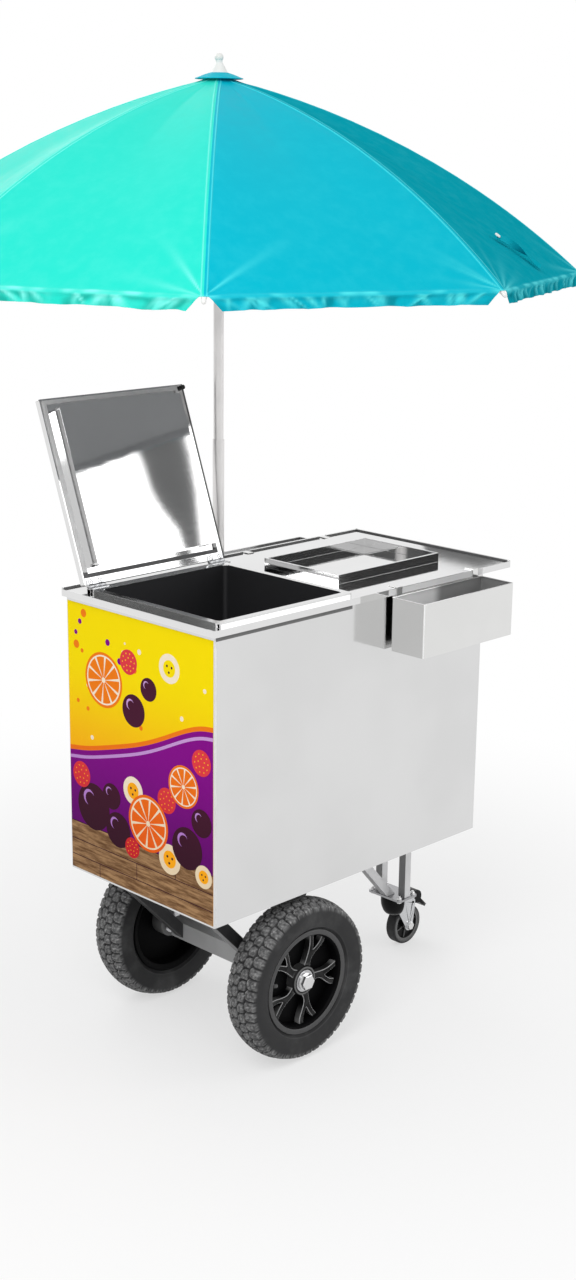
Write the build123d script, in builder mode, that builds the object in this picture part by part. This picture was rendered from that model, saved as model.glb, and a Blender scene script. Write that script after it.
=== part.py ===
"""Acai push cart: insulated well with a hinged lid, topping bins, two wheels, a caster and an umbrella.

Frame: origin on the floor under the umbrella pole, +X from the printed end to the caster end,
+Y towards the back (lid hinges and umbrella), +Z up. Millimetres.
"""

import math
import os

from build123d import *

os.makedirs("parts", exist_ok=True)

# Body and worktop
body_length = 800.0
body_width = 445.0
body_bottom = 361.0
deck_top = 968.0
body_sheet = 1.5
body_corner = 3.0
top_flange = 10.0
pan_rim = 30.0
deck_overhang = 8.0
deck_skirt = 14.0
deck_wing = 86.0
deck_corner = 5.0
seat_gap = 0.3

# Umbrella pole position, measured from the body
pole_from_print_end = 450.0
pole_behind_back = 27.0

# Printed film on the end panel
film_thickness = 0.4
film_margin_side = 4.0
film_margin_bottom = 4.0
film_margin_top = 22.0

# Well, lid and hinges
well_length = 342.0
well_width = 345.0
well_depth = 400.0
well_corner = 8.0
well_from_print_end = 29.0
well_from_near_side = 20.5
tub_sheet = 1.2
rim_height = 8.0
rim_width = 14.0
foam_thickness = 17.0
lid_from_print_end = 11.5
lid_length = 389.5
lid_from_near_side = 4.0
lid_thickness = 13.0
lid_sheet = 1.2
lid_open_angle = 110.6
plug_depth = 28.0
plug_clearance = 7.0
plug_corner = 6.0
gasket_width = 8.0
bumper_radius = 5.0
bumper_inset = 8.5
hinge_length = 44.0
hinge_from_lid_end = 6.0
knuckle_radius = 4.0
hinge_pin_radius = 2.0
leaf_thickness = 1.5
leaf_width = 11.0
knuckle_gap = 0.4
running_fit = 0.05

# Tray collar
collar_length = 320.0
collar_width = 220.0
collar_height = 20.0
collar_hem = 5.0
collar_sheet = 1.2
collar_from_well = 69.0
collar_from_near_side = 96.0

# Topping bins
bin_length = 291.0
bin_width = 89.0
bin_height = 114.0
bin_sheet = 1.2
bin_below_deck = 17.0
bin_from_print_end = 490.0
bin_gap = 0.6
bin_corner = 4.0
bin_hem = 4.0
hook_width = 17.0
hook_from_bin_end = 22.0
hook_drop = 12.0
hook_clearance = 1.0

# Wheels and axle
tyre_radius = 172.5
tyre_width = 80.0
tyre_bead_radius = 103.3
tyre_wall = 7.0
tyre_heel = 2.0
tyre_flange_gap = 0.6
wall_foot_out = 1.0
wall_foot_rise = 1.5
wall_bulge_rise = 2.0
tread_crown = 9.0
tread_shoulder_inset = 4.0
bead_width = 9.0
bead_clearance = 0.5
rim_flange_radius = 113.0
rim_flange_half = 34.0
rim_barrel_depth = 10.0
rim_wall = 5.0
rim_lip = 6.0
rim_lip_slope = 2.0
rim_web_thickness = 4.0
hub_radius = 33.0
hub_outer = 25.0
hub_inner = 33.0
spoke_thickness = 16.0
spoke_face = 20.0
spoke_count = 5
spoke_start_angle = -7.5
spoke_root_half = 13.0
spoke_fork_radius = 66.0
spoke_waist_setback = 8.0
spoke_waist_inset = 3.0
spoke_wide_angle = 17.0
spoke_split_angle = 8.0
axle_from_print_end = 245.0
wheel_plane_inset = 13.0
axle_radius = 10.0
axle_shoulder_radius = 14.0
bearing_radius = 23.5
bearing_width = 14.0
nut_across_flats = 30.0
nut_height = 13.0
nut_cap = 3.0
nut_chamfer = 1.5
washer_radius = 18.5
washer_thickness = 2.5
beam_size = 40.0
beam_wall = 3.0
beam_plug = 8.0
beam_from_wheel = 49.0
arm_size = 25.0
arm_cut_length = 35.0
arm_wall = 2.0
arm_inset = 90.0
arm_reach = 198.0
arm_reach_inner = 100.0

# Caster
caster_from_body_end = 10.0
caster_trail = 36.0
caster_radius = 48.0
caster_tread_width = 26.0
caster_tread_thickness = 9.0
caster_tread_round = 4.0
caster_hub_radius = 12.0
caster_hub_gap = 1.0
caster_web_thickness = 14.0
caster_web_radius = 15.0
caster_rim_depth = 7.0
caster_rim_lip = 4.0
caster_rim_inset = 1.0
caster_plate_length = 64.0
caster_plate_width = 100.0
caster_plate_thickness = 5.0
caster_plate_corner = 6.0
caster_plate_bottom = 135.0
caster_leg_size = 20.0
caster_leg_wall = 2.0
caster_leg_spacing = 72.0
caster_leg_setback = 5.0
brace_reach = 200.0
brace_cut_length = 28.0
brace_foot_setback = 22.0
king_pin_radius = 6.0
king_boss_radius = 22.0
king_boss_height = 13.0
king_head_radius = 10.0
king_head_height = 4.0
fork_crown_thickness = 8.0
fork_crown_radius = 27.0
fork_leg_thickness = 3.0
fork_inner_width = 33.0
fork_heel = 16.2
fork_eye_radius = 13.0
fork_nose_length = 8.0
fork_nose_setback = 4.0
fork_nose_height = 4.0
fork_nose_depth = 10.0
hood_radius = 31.0
hood_drop = 51.0
hood_plate_gap = 1.0
hood_front = 4.0
hood_fit = 0.3
caster_axle_radius = 5.0
caster_axle_end = 3.0
caster_nut_across_flats = 17.0
caster_nut_height = 6.5
pedal_pivot_ahead = 12.0
pedal_pivot_above = 56.0
pedal_pin_radius = 2.5
pedal_tube_radius = 5.5
pedal_width = 28.0
pedal_hump_length = 35.0
pedal_hump_rise = 23.5
pedal_neck_drop = 2.0
pedal_toe_reach = 55.0
pedal_toe_drop = 22.0
pedal_toe_cut = 5.0
pedal_belly_reach = 30.0
pedal_belly_drop = 11.0
pedal_side_gap = 2.0
pedal_pin_end = 1.5

# Umbrella
lower_pole_radius = 12.7
upper_pole_radius = 11.0
upper_pole_wall = 1.5
pole_foot = 720.0
pole_joint_height = 1226.0
pole_insert = 180.0
stop_pin_radius = 3.0
stop_pin_inset = 0.5
pole_end_height = 2.0
holder_top = 930.0
holder_wall = 3.2
holder_floor = 4.0
bracket_width = 66.0
bracket_height = 34.0
bracket_plate = 3.0
bracket_corner = 5.0
bracket_neck = 22.0
knob_height = 895.0
knob_screw_radius = 4.0
knob_boss_radius = 9.0
knob_boss_length = 8.0
knob_radius = 16.0
knob_depth = 15.0
knob_core_radius = 12.0
knob_lobe_radius = 5.0
knob_lobe_count = 5
rib_count = 8
rib_radius = 2.25
canopy_radius = 766.0
tip_height = 1588.0
crown_slope = 13.0
hem_slope = 41.5
pivot_ring_radius = 22.0
rib_eye_radius = 4.0
rib_eye_width = 3.0
pivot_pin_radius = 1.5
tip_cap_radius = 3.5
tip_cap_length = 16.0
strut_radius = 2.0
strut_length = 300.0
strut_slope = 19.5
clevis_cheek = 1.5
clevis_gap = 0.3
clevis_radius = 4.5
clevis_throat = 2.5
clevis_bridge = 4.0
clevis_half_height = 3.0
rod_lap = 1.0
neck_length = 10.0
neck_half = 1.6
neck_lap = 3.0
ear_radius = 4.0
ear_half_width = 3.0
ear_half_angle = 0.3
crown_radius = 29.0
crown_below = 5.0
crown_above = 3.5
crown_core_radius = 16.5
crown_notch = 3.6
crown_pin_end = 2.0
runner_notch = 6.0
runner_sleeve_radius = 15.0
runner_above = 12.0
runner_below = 55.0
runner_lip = 2.0
runner_lip_height = 6.0
canopy_cloth = 1.5
canopy_offset = 5.6
canopy_bands = 8
canopy_apex_radius = 13.0
canopy_apex_rise = 12.0
canopy_first_radius = 45.0
valance_height = 26.0
valance_corner_gap = 9.0
valance_taper = 34.0
finial_radius = 20.0
finial_height = 46.0
finial_rim = 4.0
finial_neck_radius = 7.0
finial_ball_radius = 9.0

# Derived places
x_print = -pole_from_print_end
x_caster_end = x_print + body_length
x_middle = x_print + body_length / 2
y_back = -pole_behind_back
y_near = y_back - body_width
y_middle = (y_near + y_back) / 2
deck_under = deck_top - body_sheet
well_x = x_print + well_from_print_end + well_length / 2
well_y = y_near + well_from_near_side + well_width / 2
tub_floor = deck_top - well_depth
rim_top = deck_top + rim_height
lid_x = x_print + lid_from_print_end + lid_length / 2
rail_front = well_y + well_width / 2 + tub_sheet + rim_width + seat_gap
rail_width = leaf_width - knuckle_gap
hinge_y = rail_front + leaf_width + knuckle_radius
hinge_z = rim_top + leaf_thickness + knuckle_gap / 2
lid_inner = leaf_thickness + knuckle_gap / 2
lid_reach = hinge_y - (y_near + lid_from_near_side)
x_axle = x_print + axle_from_print_end
z_axle = tyre_radius
x_swivel = x_caster_end - caster_from_body_end
x_caster_wheel = x_swivel + caster_trail
plate_top = caster_plate_bottom + caster_plate_thickness

lid_plane = Plane(
    origin=(0, hinge_y, hinge_z),
    x_dir=(1, 0, 0),
    z_dir=(
        0,
        math.sin(math.radians(lid_open_angle)),
        math.cos(math.radians(lid_open_angle)),
    ),
)

pieces = []


def keep(part, name):
    """Label a finished piece and put it on the list to write."""
    part.label = name
    pieces.append(part)


# Casing: folded sheet walls with an inward flange under the worktop
with BuildPart() as casing:
    with BuildSketch(Plane.XY.offset(body_bottom)):
        with Locations((x_middle, y_middle)):
            RectangleRounded(body_length, body_width, body_corner)
    extrude(amount=deck_under - body_bottom)
    inner_length = body_length - 2 * body_sheet
    inner_width = body_width - 2 * body_sheet
    with BuildSketch(Plane.XY.offset(body_bottom)):
        with Locations((x_middle, y_middle)):
            RectangleRounded(inner_length, inner_width, body_corner - body_sheet)
    extrude(amount=deck_under - body_bottom - body_sheet, mode=Mode.SUBTRACT)
    with BuildSketch(Plane.XY.offset(deck_under)):
        with Locations((x_middle, y_middle)):
            Rectangle(inner_length - 2 * top_flange, inner_width - 2 * top_flange)
    extrude(amount=-2 * body_sheet, mode=Mode.SUBTRACT)
keep(casing.part, "casing")

# Base pan: floor of the body with an upturned rim inside the casing
with BuildPart() as base_pan:
    pan_length = inner_length - 2 * seat_gap
    pan_width = inner_width - 2 * seat_gap
    with BuildSketch(Plane.XY.offset(body_bottom)):
        with Locations((x_middle, y_middle)):
            RectangleRounded(pan_length, pan_width, body_corner)
    extrude(amount=pan_rim)
    with BuildSketch(Plane.XY.offset(body_bottom + body_sheet)):
        with Locations((x_middle, y_middle)):
            RectangleRounded(
                pan_length - 2 * body_sheet, pan_width - 2 * body_sheet, body_corner - body_sheet
            )
    extrude(amount=pan_rim, mode=Mode.SUBTRACT)
keep(base_pan.part, "base_pan")

# Tub of the well: deep drawn box whose folded rim stands on the worktop
with BuildPart() as tub:
    tub_length = well_length + 2 * tub_sheet
    tub_width = well_width + 2 * tub_sheet
    with BuildSketch(Plane.XY.offset(tub_floor - tub_sheet)):
        with Locations((well_x, well_y)):
            RectangleRounded(tub_length, tub_width, well_corner + tub_sheet)
    extrude(amount=well_depth + tub_sheet)
    with BuildSketch(Plane.XY.offset(deck_top)):
        with Locations((well_x, well_y)):
            RectangleRounded(tub_length + 2 * rim_width, tub_width + 2 * rim_width, well_corner)
    extrude(amount=rim_height)
    with BuildSketch(Plane.XY.offset(deck_top)):
        with Locations((well_x, well_y)):
            Rectangle(tub_length + 2 * (rim_width - tub_sheet), tub_width + 2 * (rim_width - tub_sheet))
            RectangleRounded(tub_length, tub_width, well_corner + tub_sheet, mode=Mode.SUBTRACT)
    extrude(amount=rim_height - tub_sheet, mode=Mode.SUBTRACT)
    with BuildSketch(Plane.XY.offset(tub_floor)):
        with Locations((well_x, well_y)):
            RectangleRounded(well_length, well_width, well_corner)
    extrude(amount=well_depth + rim_height, mode=Mode.SUBTRACT)
keep(tub.part, "tub")

# Insulation: foam jacket glued round the tub
with BuildPart() as insulation:
    core_length = tub_length + 2 * seat_gap
    core_width = tub_width + 2 * seat_gap
    foam_bottom = tub_floor - tub_sheet - seat_gap - foam_thickness
    foam_top = deck_under - body_sheet - seat_gap
    with BuildSketch(Plane.XY.offset(foam_bottom)):
        with Locations((well_x, well_y)):
            Rectangle(core_length + 2 * foam_thickness, core_width + 2 * foam_thickness)
    extrude(amount=foam_top - foam_bottom)
    with BuildSketch(Plane.XY.offset(foam_bottom + foam_thickness)):
        with Locations((well_x, well_y)):
            RectangleRounded(core_length, core_width, well_corner)
    extrude(amount=foam_top - foam_bottom, mode=Mode.SUBTRACT)
keep(insulation.part, "insulation")

# Worktop: shallow inverted pan over the casing, with a wing past the caster end
with BuildPart() as worktop:
    deck_length = body_length + deck_overhang + deck_wing
    deck_width = body_width + 2 * deck_overhang
    deck_x = x_print - deck_overhang + deck_length / 2
    with BuildSketch(Plane.XY.offset(deck_top)):
        with Locations((deck_x, y_middle)):
            RectangleRounded(deck_length, deck_width, deck_corner)
    extrude(amount=-deck_skirt)
    with BuildSketch(Plane.XY.offset(deck_under)):
        with Locations((deck_x, y_middle)):
            RectangleRounded(
                deck_length - 2 * body_sheet, deck_width - 2 * body_sheet, deck_corner - body_sheet
            )
    extrude(amount=-deck_skirt, mode=Mode.SUBTRACT)
    with BuildSketch(Plane.XY.offset(deck_top)):
        with Locations((well_x, well_y)):
            Rectangle(core_length, core_width)
    extrude(amount=-2 * body_sheet, mode=Mode.SUBTRACT)
    hook_reach = deck_overhang + body_sheet + top_flange + hook_clearance
    bin_x = x_print + bin_from_print_end + bin_length / 2
    hook_spread = bin_length - 2 * hook_from_bin_end
    slot_spread = deck_width - 2 * hook_reach - bin_sheet
    with BuildSketch(Plane.XY.offset(deck_top)):
        with Locations((bin_x, y_middle)):
            with GridLocations(hook_spread, slot_spread, 2, 2):
                Rectangle(hook_width + 2 * hook_clearance, bin_sheet + 2 * hook_clearance)
    extrude(amount=-2 * body_sheet, mode=Mode.SUBTRACT)
keep(worktop.part, "worktop")

# Tray collar: low hemmed frame on the right half of the worktop
with BuildPart() as tray_collar:
    collar_x = well_x + well_length / 2 + collar_from_well + collar_length / 2
    collar_y = y_near + collar_from_near_side + collar_width / 2
    with BuildSketch(Plane.XY.offset(deck_top)):
        with Locations((collar_x, collar_y)):
            Rectangle(collar_length, collar_width)
            Rectangle(collar_length - 2 * collar_sheet, collar_width - 2 * collar_sheet, mode=Mode.SUBTRACT)
    extrude(amount=collar_height)
    with BuildSketch(Plane.XY.offset(deck_top + collar_height)):
        with Locations((collar_x, collar_y)):
            Rectangle(collar_length, collar_width)
            Rectangle(collar_length - 2 * collar_hem, collar_width - 2 * collar_hem, mode=Mode.SUBTRACT)
    extrude(amount=-collar_sheet)
keep(tray_collar.part, "tray_collar")

# Printed film on the narrow end panel
with BuildPart() as print_film:
    film_width = body_width - 2 * film_margin_side
    film_low = body_bottom + film_margin_bottom
    film_high = deck_top - film_margin_top
    film_plane = Plane(
        origin=(x_print, y_middle, (film_low + film_high) / 2), x_dir=(0, -1, 0), z_dir=(-1, 0, 0)
    )
    with BuildSketch(film_plane):
        Rectangle(film_width, film_high - film_low)
    extrude(amount=film_thickness)
keep(print_film.part, "print_film")

# Hinge rail: folded channel between the well's rim and the hinge knuckles, as high as the rim
with BuildPart() as hinge_rail:
    rail_plane = Plane(origin=(lid_x, rail_front + rail_width / 2, deck_top))
    with BuildSketch(rail_plane):
        Rectangle(lid_length, rail_width)
    extrude(amount=rim_height)
    with BuildSketch(rail_plane):
        Rectangle(lid_length, rail_width - 2 * tub_sheet)
    extrude(amount=rim_height - tub_sheet, mode=Mode.SUBTRACT)
keep(hinge_rail.part, "hinge_rail")

# Butt hinges: three knuckles each, the middle one on the lid's leaf
hinge_spread = lid_length - 2 * hinge_from_lid_end - hinge_length
hinge_centres = (lid_x - hinge_spread / 2, lid_x + hinge_spread / 2)
knuckle_length = (hinge_length - 2 * knuckle_gap) / 3
knuckle_step = knuckle_length + knuckle_gap


def leaf(hinge_plane, low, knuckle_offsets, notch_offsets):
    """Both leaves of one side of the hinges, on the plane through the hinge axis."""
    with BuildPart() as leaves:
        for centre in hinge_centres:
            with BuildSketch(hinge_plane.offset(low)):
                with Locations((centre, -(knuckle_radius + leaf_width) / 2)):
                    Rectangle(hinge_length, leaf_width + knuckle_radius)
            extrude(amount=leaf_thickness)
            for offset_x in knuckle_offsets:
                barrel = Plane(
                    origin=hinge_plane.from_local_coords((centre + offset_x - knuckle_length / 2, 0, 0)),
                    x_dir=hinge_plane.y_dir,
                    z_dir=hinge_plane.x_dir,
                )
                with BuildSketch(barrel):
                    Circle(knuckle_radius)
                extrude(amount=knuckle_length)
            for offset_x in notch_offsets:
                slot = Plane(
                    origin=hinge_plane.from_local_coords((centre + offset_x - knuckle_step / 2, 0, 0)),
                    x_dir=hinge_plane.y_dir,
                    z_dir=hinge_plane.x_dir,
                )
                with BuildSketch(slot):
                    Circle(knuckle_radius + knuckle_gap)
                extrude(amount=knuckle_step + knuckle_gap / 2, mode=Mode.SUBTRACT)
            bore = Plane(
                origin=hinge_plane.from_local_coords((centre, 0, 0)),
                x_dir=hinge_plane.y_dir,
                z_dir=hinge_plane.x_dir,
            )
            with BuildSketch(bore):
                Circle(hinge_pin_radius + running_fit)
            extrude(amount=hinge_length, both=True, mode=Mode.SUBTRACT)
    return leaves.part


frame_hinge_plane = Plane(origin=(0, hinge_y, hinge_z))
outer_knuckles = (-knuckle_step, knuckle_step)
keep(leaf(frame_hinge_plane, -leaf_thickness - knuckle_gap / 2, outer_knuckles, (0,)), "hinge_frame_leaves")
keep(leaf(lid_plane, knuckle_gap / 2, (0,), outer_knuckles), "hinge_lid_leaves")

with BuildPart() as hinge_pins:
    for centre in hinge_centres:
        with BuildSketch(Plane(origin=(centre, hinge_y, hinge_z), x_dir=(0, 1, 0), z_dir=(1, 0, 0))):
            Circle(hinge_pin_radius)
        extrude(amount=hinge_length / 2, both=True)
keep(hinge_pins.part, "hinge_pins")

# Lid: outer cover, plug pan closing it from below, foam core and gasket
lid_rear = -(knuckle_radius + knuckle_gap)
lid_span = lid_reach + lid_rear
lid_centre = (lid_x, lid_rear - lid_span / 2)
plug_length = well_length - 2 * plug_clearance
plug_width = well_width - 2 * plug_clearance
plug_centre = (well_x, well_y - hinge_y)

with BuildPart() as lid_cover:
    with BuildSketch(lid_plane.offset(lid_inner)):
        with Locations(lid_centre):
            RectangleRounded(lid_length, lid_span, lid_sheet * 2)
    extrude(amount=lid_thickness)
    with BuildSketch(lid_plane.offset(lid_inner)):
        with Locations(lid_centre):
            RectangleRounded(lid_length - 2 * lid_sheet, lid_span - 2 * lid_sheet, lid_sheet)
    extrude(amount=lid_thickness - lid_sheet, mode=Mode.SUBTRACT)
keep(lid_cover.part, "lid_cover")

with BuildPart() as lid_plug:
    pan_inset = 2 * (lid_sheet + seat_gap)
    with BuildSketch(lid_plane.offset(lid_inner)):
        with Locations(lid_centre):
            RectangleRounded(lid_length - pan_inset, lid_span - pan_inset, lid_sheet)
    extrude(amount=lid_sheet)
    with BuildSketch(lid_plane.offset(lid_inner)):
        with Locations(plug_centre):
            RectangleRounded(plug_length, plug_width, plug_corner)
    extrude(amount=-plug_depth)
    with BuildSketch(lid_plane.offset(lid_inner + lid_sheet)):
        with Locations(plug_centre):
            RectangleRounded(
                plug_length - 2 * lid_sheet, plug_width - 2 * lid_sheet, plug_corner - lid_sheet
            )
    extrude(amount=-plug_depth, mode=Mode.SUBTRACT)
keep(lid_plug.part, "lid_plug")

with BuildPart() as lid_core:
    core_inset = 2 * (lid_sheet + seat_gap)
    core_low = lid_inner + lid_sheet - plug_depth + seat_gap
    with BuildSketch(lid_plane.offset(core_low)):
        with Locations(plug_centre):
            RectangleRounded(plug_length - core_inset, plug_width - core_inset, plug_corner - lid_sheet)
    extrude(amount=plug_depth + lid_thickness - 2 * lid_sheet - 2 * seat_gap)
keep(lid_core.part, "lid_core")

with BuildPart() as lid_gasket:
    gasket_inset = plug_clearance + tub_sheet + (rim_width - gasket_width) / 2
    with BuildSketch(lid_plane.offset(lid_inner)):
        with Locations(plug_centre):
            gasket_outset = gasket_inset + gasket_width
            Rectangle(plug_length + 2 * gasket_outset, plug_width + 2 * gasket_outset)
            Rectangle(plug_length + 2 * gasket_inset, plug_width + 2 * gasket_inset, mode=Mode.SUBTRACT)
    extrude(amount=-(lid_inner + leaf_thickness + knuckle_gap / 2 - seat_gap))
    lid_end = lid_x + lid_length / 2
    with BuildSketch(lid_plane.offset(lid_inner)):
        with Locations((lid_end - bumper_inset, bumper_inset - lid_reach)):
            Circle(bumper_radius)
    extrude(amount=-(hinge_z + lid_inner - deck_top - seat_gap))
keep(lid_gasket.part, "lid_gasket")


# Topping bins: open boxes whose back walls carry two hooks through the worktop's slots
def topping_bin(outward):
    """A bin on the side of the cart that outward (-1 near, +1 far) points to."""
    edge = y_middle + outward * (deck_width / 2 + bin_gap)
    bin_top = deck_top - bin_below_deck
    centre_y = edge + outward * bin_width / 2
    hook_top = deck_top + hook_clearance / 2
    with BuildPart() as one_bin:
        with BuildSketch(Plane.XY.offset(bin_top)):
            with Locations((bin_x, centre_y)):
                RectangleRounded(bin_length, bin_width, bin_corner)
        extrude(amount=-bin_height)
        with BuildSketch(Plane.XY.offset(bin_top)):
            with Locations((bin_x, centre_y)):
                RectangleRounded(
                    bin_length - 2 * bin_sheet, bin_width - 2 * bin_sheet, bin_corner - bin_sheet
                )
        extrude(amount=-(bin_height - bin_sheet), mode=Mode.SUBTRACT)
        with BuildSketch(Plane.XY.offset(bin_top)):
            with Locations((bin_x, centre_y)):
                RectangleRounded(bin_length, bin_width, bin_corner)
                Rectangle(bin_length - 2 * bin_hem, bin_width - 2 * bin_hem, mode=Mode.SUBTRACT)
        extrude(amount=-bin_sheet)
        lip_y = edge - outward * (bin_gap + hook_reach + bin_sheet / 2)
        with BuildSketch(Plane.XY.offset(hook_top)):
            with Locations((bin_x, (edge + outward * bin_sheet + lip_y - outward * bin_sheet / 2) / 2)):
                with GridLocations(hook_spread, 1, 2, 1):
                    Rectangle(hook_width, abs(edge + outward * 1.5 * bin_sheet - lip_y))
        extrude(amount=bin_sheet)
        with BuildSketch(Plane.XY.offset(hook_top)):
            with Locations((bin_x, edge + outward * bin_sheet / 2)):
                with GridLocations(hook_spread, 1, 2, 1):
                    Rectangle(hook_width, bin_sheet)
        extrude(amount=-(hook_top - bin_top + bin_sheet))
        with BuildSketch(Plane.XY.offset(hook_top)):
            with Locations((bin_x, lip_y)):
                with GridLocations(hook_spread, 1, 2, 1):
                    Rectangle(hook_width, bin_sheet)
        extrude(amount=-hook_drop)
    return one_bin.part


keep(topping_bin(-1), "near_bin")
keep(topping_bin(1), "far_bin")

# Axle beam: square tube with end plugs that hold the axle rod
wheel_y = {-1: y_near + wheel_plane_inset, 1: y_back - wheel_plane_inset}
beam_half = (wheel_y[1] - wheel_y[-1]) / 2 - beam_from_wheel

with BuildPart() as axle_beam:
    beam_plane = Plane(origin=(x_axle, y_middle, z_axle), x_dir=(1, 0, 0), z_dir=(0, -1, 0))
    with BuildSketch(beam_plane):
        Rectangle(beam_size, beam_size)
        Rectangle(beam_size - 2 * beam_wall, beam_size - 2 * beam_wall, mode=Mode.SUBTRACT)
    extrude(amount=beam_half, both=True)
    for side in (-1, 1):
        with BuildSketch(beam_plane.offset(side * (beam_half - beam_plug / 2))):
            Rectangle(beam_size, beam_size)
            Circle(axle_radius + running_fit, mode=Mode.SUBTRACT)
        extrude(amount=beam_plug / 2, both=True)
keep(axle_beam.part, "axle_beam")

# Axle rod: shoulders between the beam and the wheel bearings
rod_half = (wheel_y[1] - wheel_y[-1]) / 2 + hub_outer + nut_height - nut_cap
with BuildPart() as axle_rod:
    with BuildSketch(Plane(origin=(x_axle, y_middle, z_axle), x_dir=(1, 0, 0), z_dir=(0, -1, 0))):
        Circle(axle_radius)
    extrude(amount=rod_half, both=True)
    for side in (-1, 1):
        shoulder = Plane(
            origin=(x_axle, y_middle + side * (beam_half + seat_gap), z_axle),
            x_dir=(side, 0, 0),
            z_dir=(0, side, 0),
        )
        with BuildSketch(shoulder):
            Circle(axle_shoulder_radius)
        extrude(amount=beam_from_wheel - hub_inner - 2 * seat_gap)
keep(axle_rod.part, "axle_rod")

# Axle nuts: a washer and a hexagon nut outside each wheel
with BuildPart() as axle_nuts:
    for side in (-1, 1):
        nut_seat = Plane(
            origin=(x_axle, wheel_y[side] + side * (hub_outer + seat_gap), z_axle),
            x_dir=(-side, 0, 0),
            z_dir=(0, side, 0),
        )
        with BuildSketch(nut_seat):
            Circle(washer_radius)
        extrude(amount=washer_thickness)
        with BuildSketch(nut_seat):
            RegularPolygon(nut_across_flats / 2, 6, major_radius=False)
        extrude(amount=nut_height)
        with BuildSketch(nut_seat):
            Circle(axle_radius + running_fit)
        extrude(amount=nut_height - nut_cap, mode=Mode.SUBTRACT)
    chamfer(axle_nuts.edges().filter_by(GeomType.LINE).group_by(Axis.Y)[0], nut_chamfer)
    chamfer(axle_nuts.edges().filter_by(GeomType.LINE).group_by(Axis.Y)[-1], nut_chamfer)
keep(axle_nuts.part, "axle_nuts")

# Axle arms: slanted square tubes from the body's floor to the beam, a pair on each side
with BuildPart() as axle_arms:
    beam_face = beam_size / 2 + seat_gap
    for inset_y in (y_near + arm_inset, y_back - arm_inset):
        arm_plane = Plane(origin=(x_axle, inset_y, 0), x_dir=(1, 0, 0), z_dir=(0, -1, 0))
        for lean, reach in ((-1, arm_reach), (1, arm_reach_inner)):
            for wall, mode in ((0.0, Mode.ADD), (arm_wall, Mode.SUBTRACT)):
                run = arm_cut_length / 2 * (1 - 2 * wall / arm_size)
                middle = z_axle + beam_size / 2 - arm_cut_length / 2
                with BuildSketch(arm_plane):
                    with BuildLine():
                        Polyline(
                            (lean * beam_face, middle + run),
                            (lean * beam_face, middle - run),
                            (lean * (reach + run), body_bottom),
                            (lean * (reach - run), body_bottom),
                            close=True,
                        )
                    make_face()
                extrude(amount=arm_size / 2 - wall, both=True, mode=mode)
keep(axle_arms.part, "axle_arms")


# Wheels: tyre, spoked rim and a pair of bearings on each side
def wheel_axis_plane(side):
    """Plane through the wheel axis: local x points outwards along the axle, local y up."""
    return Plane(origin=(x_axle, wheel_y[side], z_axle), x_dir=(0, side, 0), z_dir=(side, 0, 0))


def wheel_face_plane(side):
    """Plane across the wheel axis, facing outwards."""
    return Plane(origin=(x_axle, wheel_y[side], z_axle), x_dir=(-side, 0, 0), z_dir=(0, side, 0))


def tyre(side):
    """Hollow tyre: beads on the rim, bulging walls and a crowned tread."""
    half = tyre_width / 2
    edge = half - tread_shoulder_inset
    shoulder = tyre_radius - tread_crown
    tread_arc = (edge**2 + tread_crown**2) / (2 * tread_crown)
    quarter = edge / 2
    quarter_drop = tread_arc - math.sqrt(tread_arc**2 - quarter**2)
    bulge = (tyre_radius + rim_flange_radius) / 2
    bead_outer = rim_flange_half - rim_lip - bead_clearance
    bead_inner = bead_outer - bead_width
    wall_foot = (rim_flange_half + wall_foot_out, rim_flange_radius + wall_foot_rise)
    with BuildPart() as one_tyre:
        with BuildSketch(wheel_axis_plane(side)):
            with BuildLine():
                Polyline(
                    (bead_inner, tyre_bead_radius),
                    (bead_outer, tyre_bead_radius),
                    (bead_outer + tyre_heel, rim_flange_radius + tyre_flange_gap),
                    wall_foot,
                )
                ThreePointArc(wall_foot, (half, bulge + wall_bulge_rise), (edge, shoulder))
                ThreePointArc((edge, shoulder), (quarter, tyre_radius - quarter_drop), (0, tyre_radius))
                Line((0, tyre_radius), (0, tyre_radius - tyre_wall))
                ThreePointArc(
                    (0, tyre_radius - tyre_wall),
                    (quarter, tyre_radius - quarter_drop - tyre_wall),
                    (edge - tyre_wall, shoulder - tyre_wall),
                )
                ThreePointArc(
                    (edge - tyre_wall, shoulder - tyre_wall),
                    (half - tyre_wall, bulge),
                    (bead_inner, rim_flange_radius),
                )
                Line((bead_inner, rim_flange_radius), (bead_inner, tyre_bead_radius))
            make_face()
            mirror(about=Plane.YZ)
        revolve(axis=Axis((x_axle, wheel_y[side], z_axle), (0, 1, 0)))
    return one_tyre.part


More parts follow.
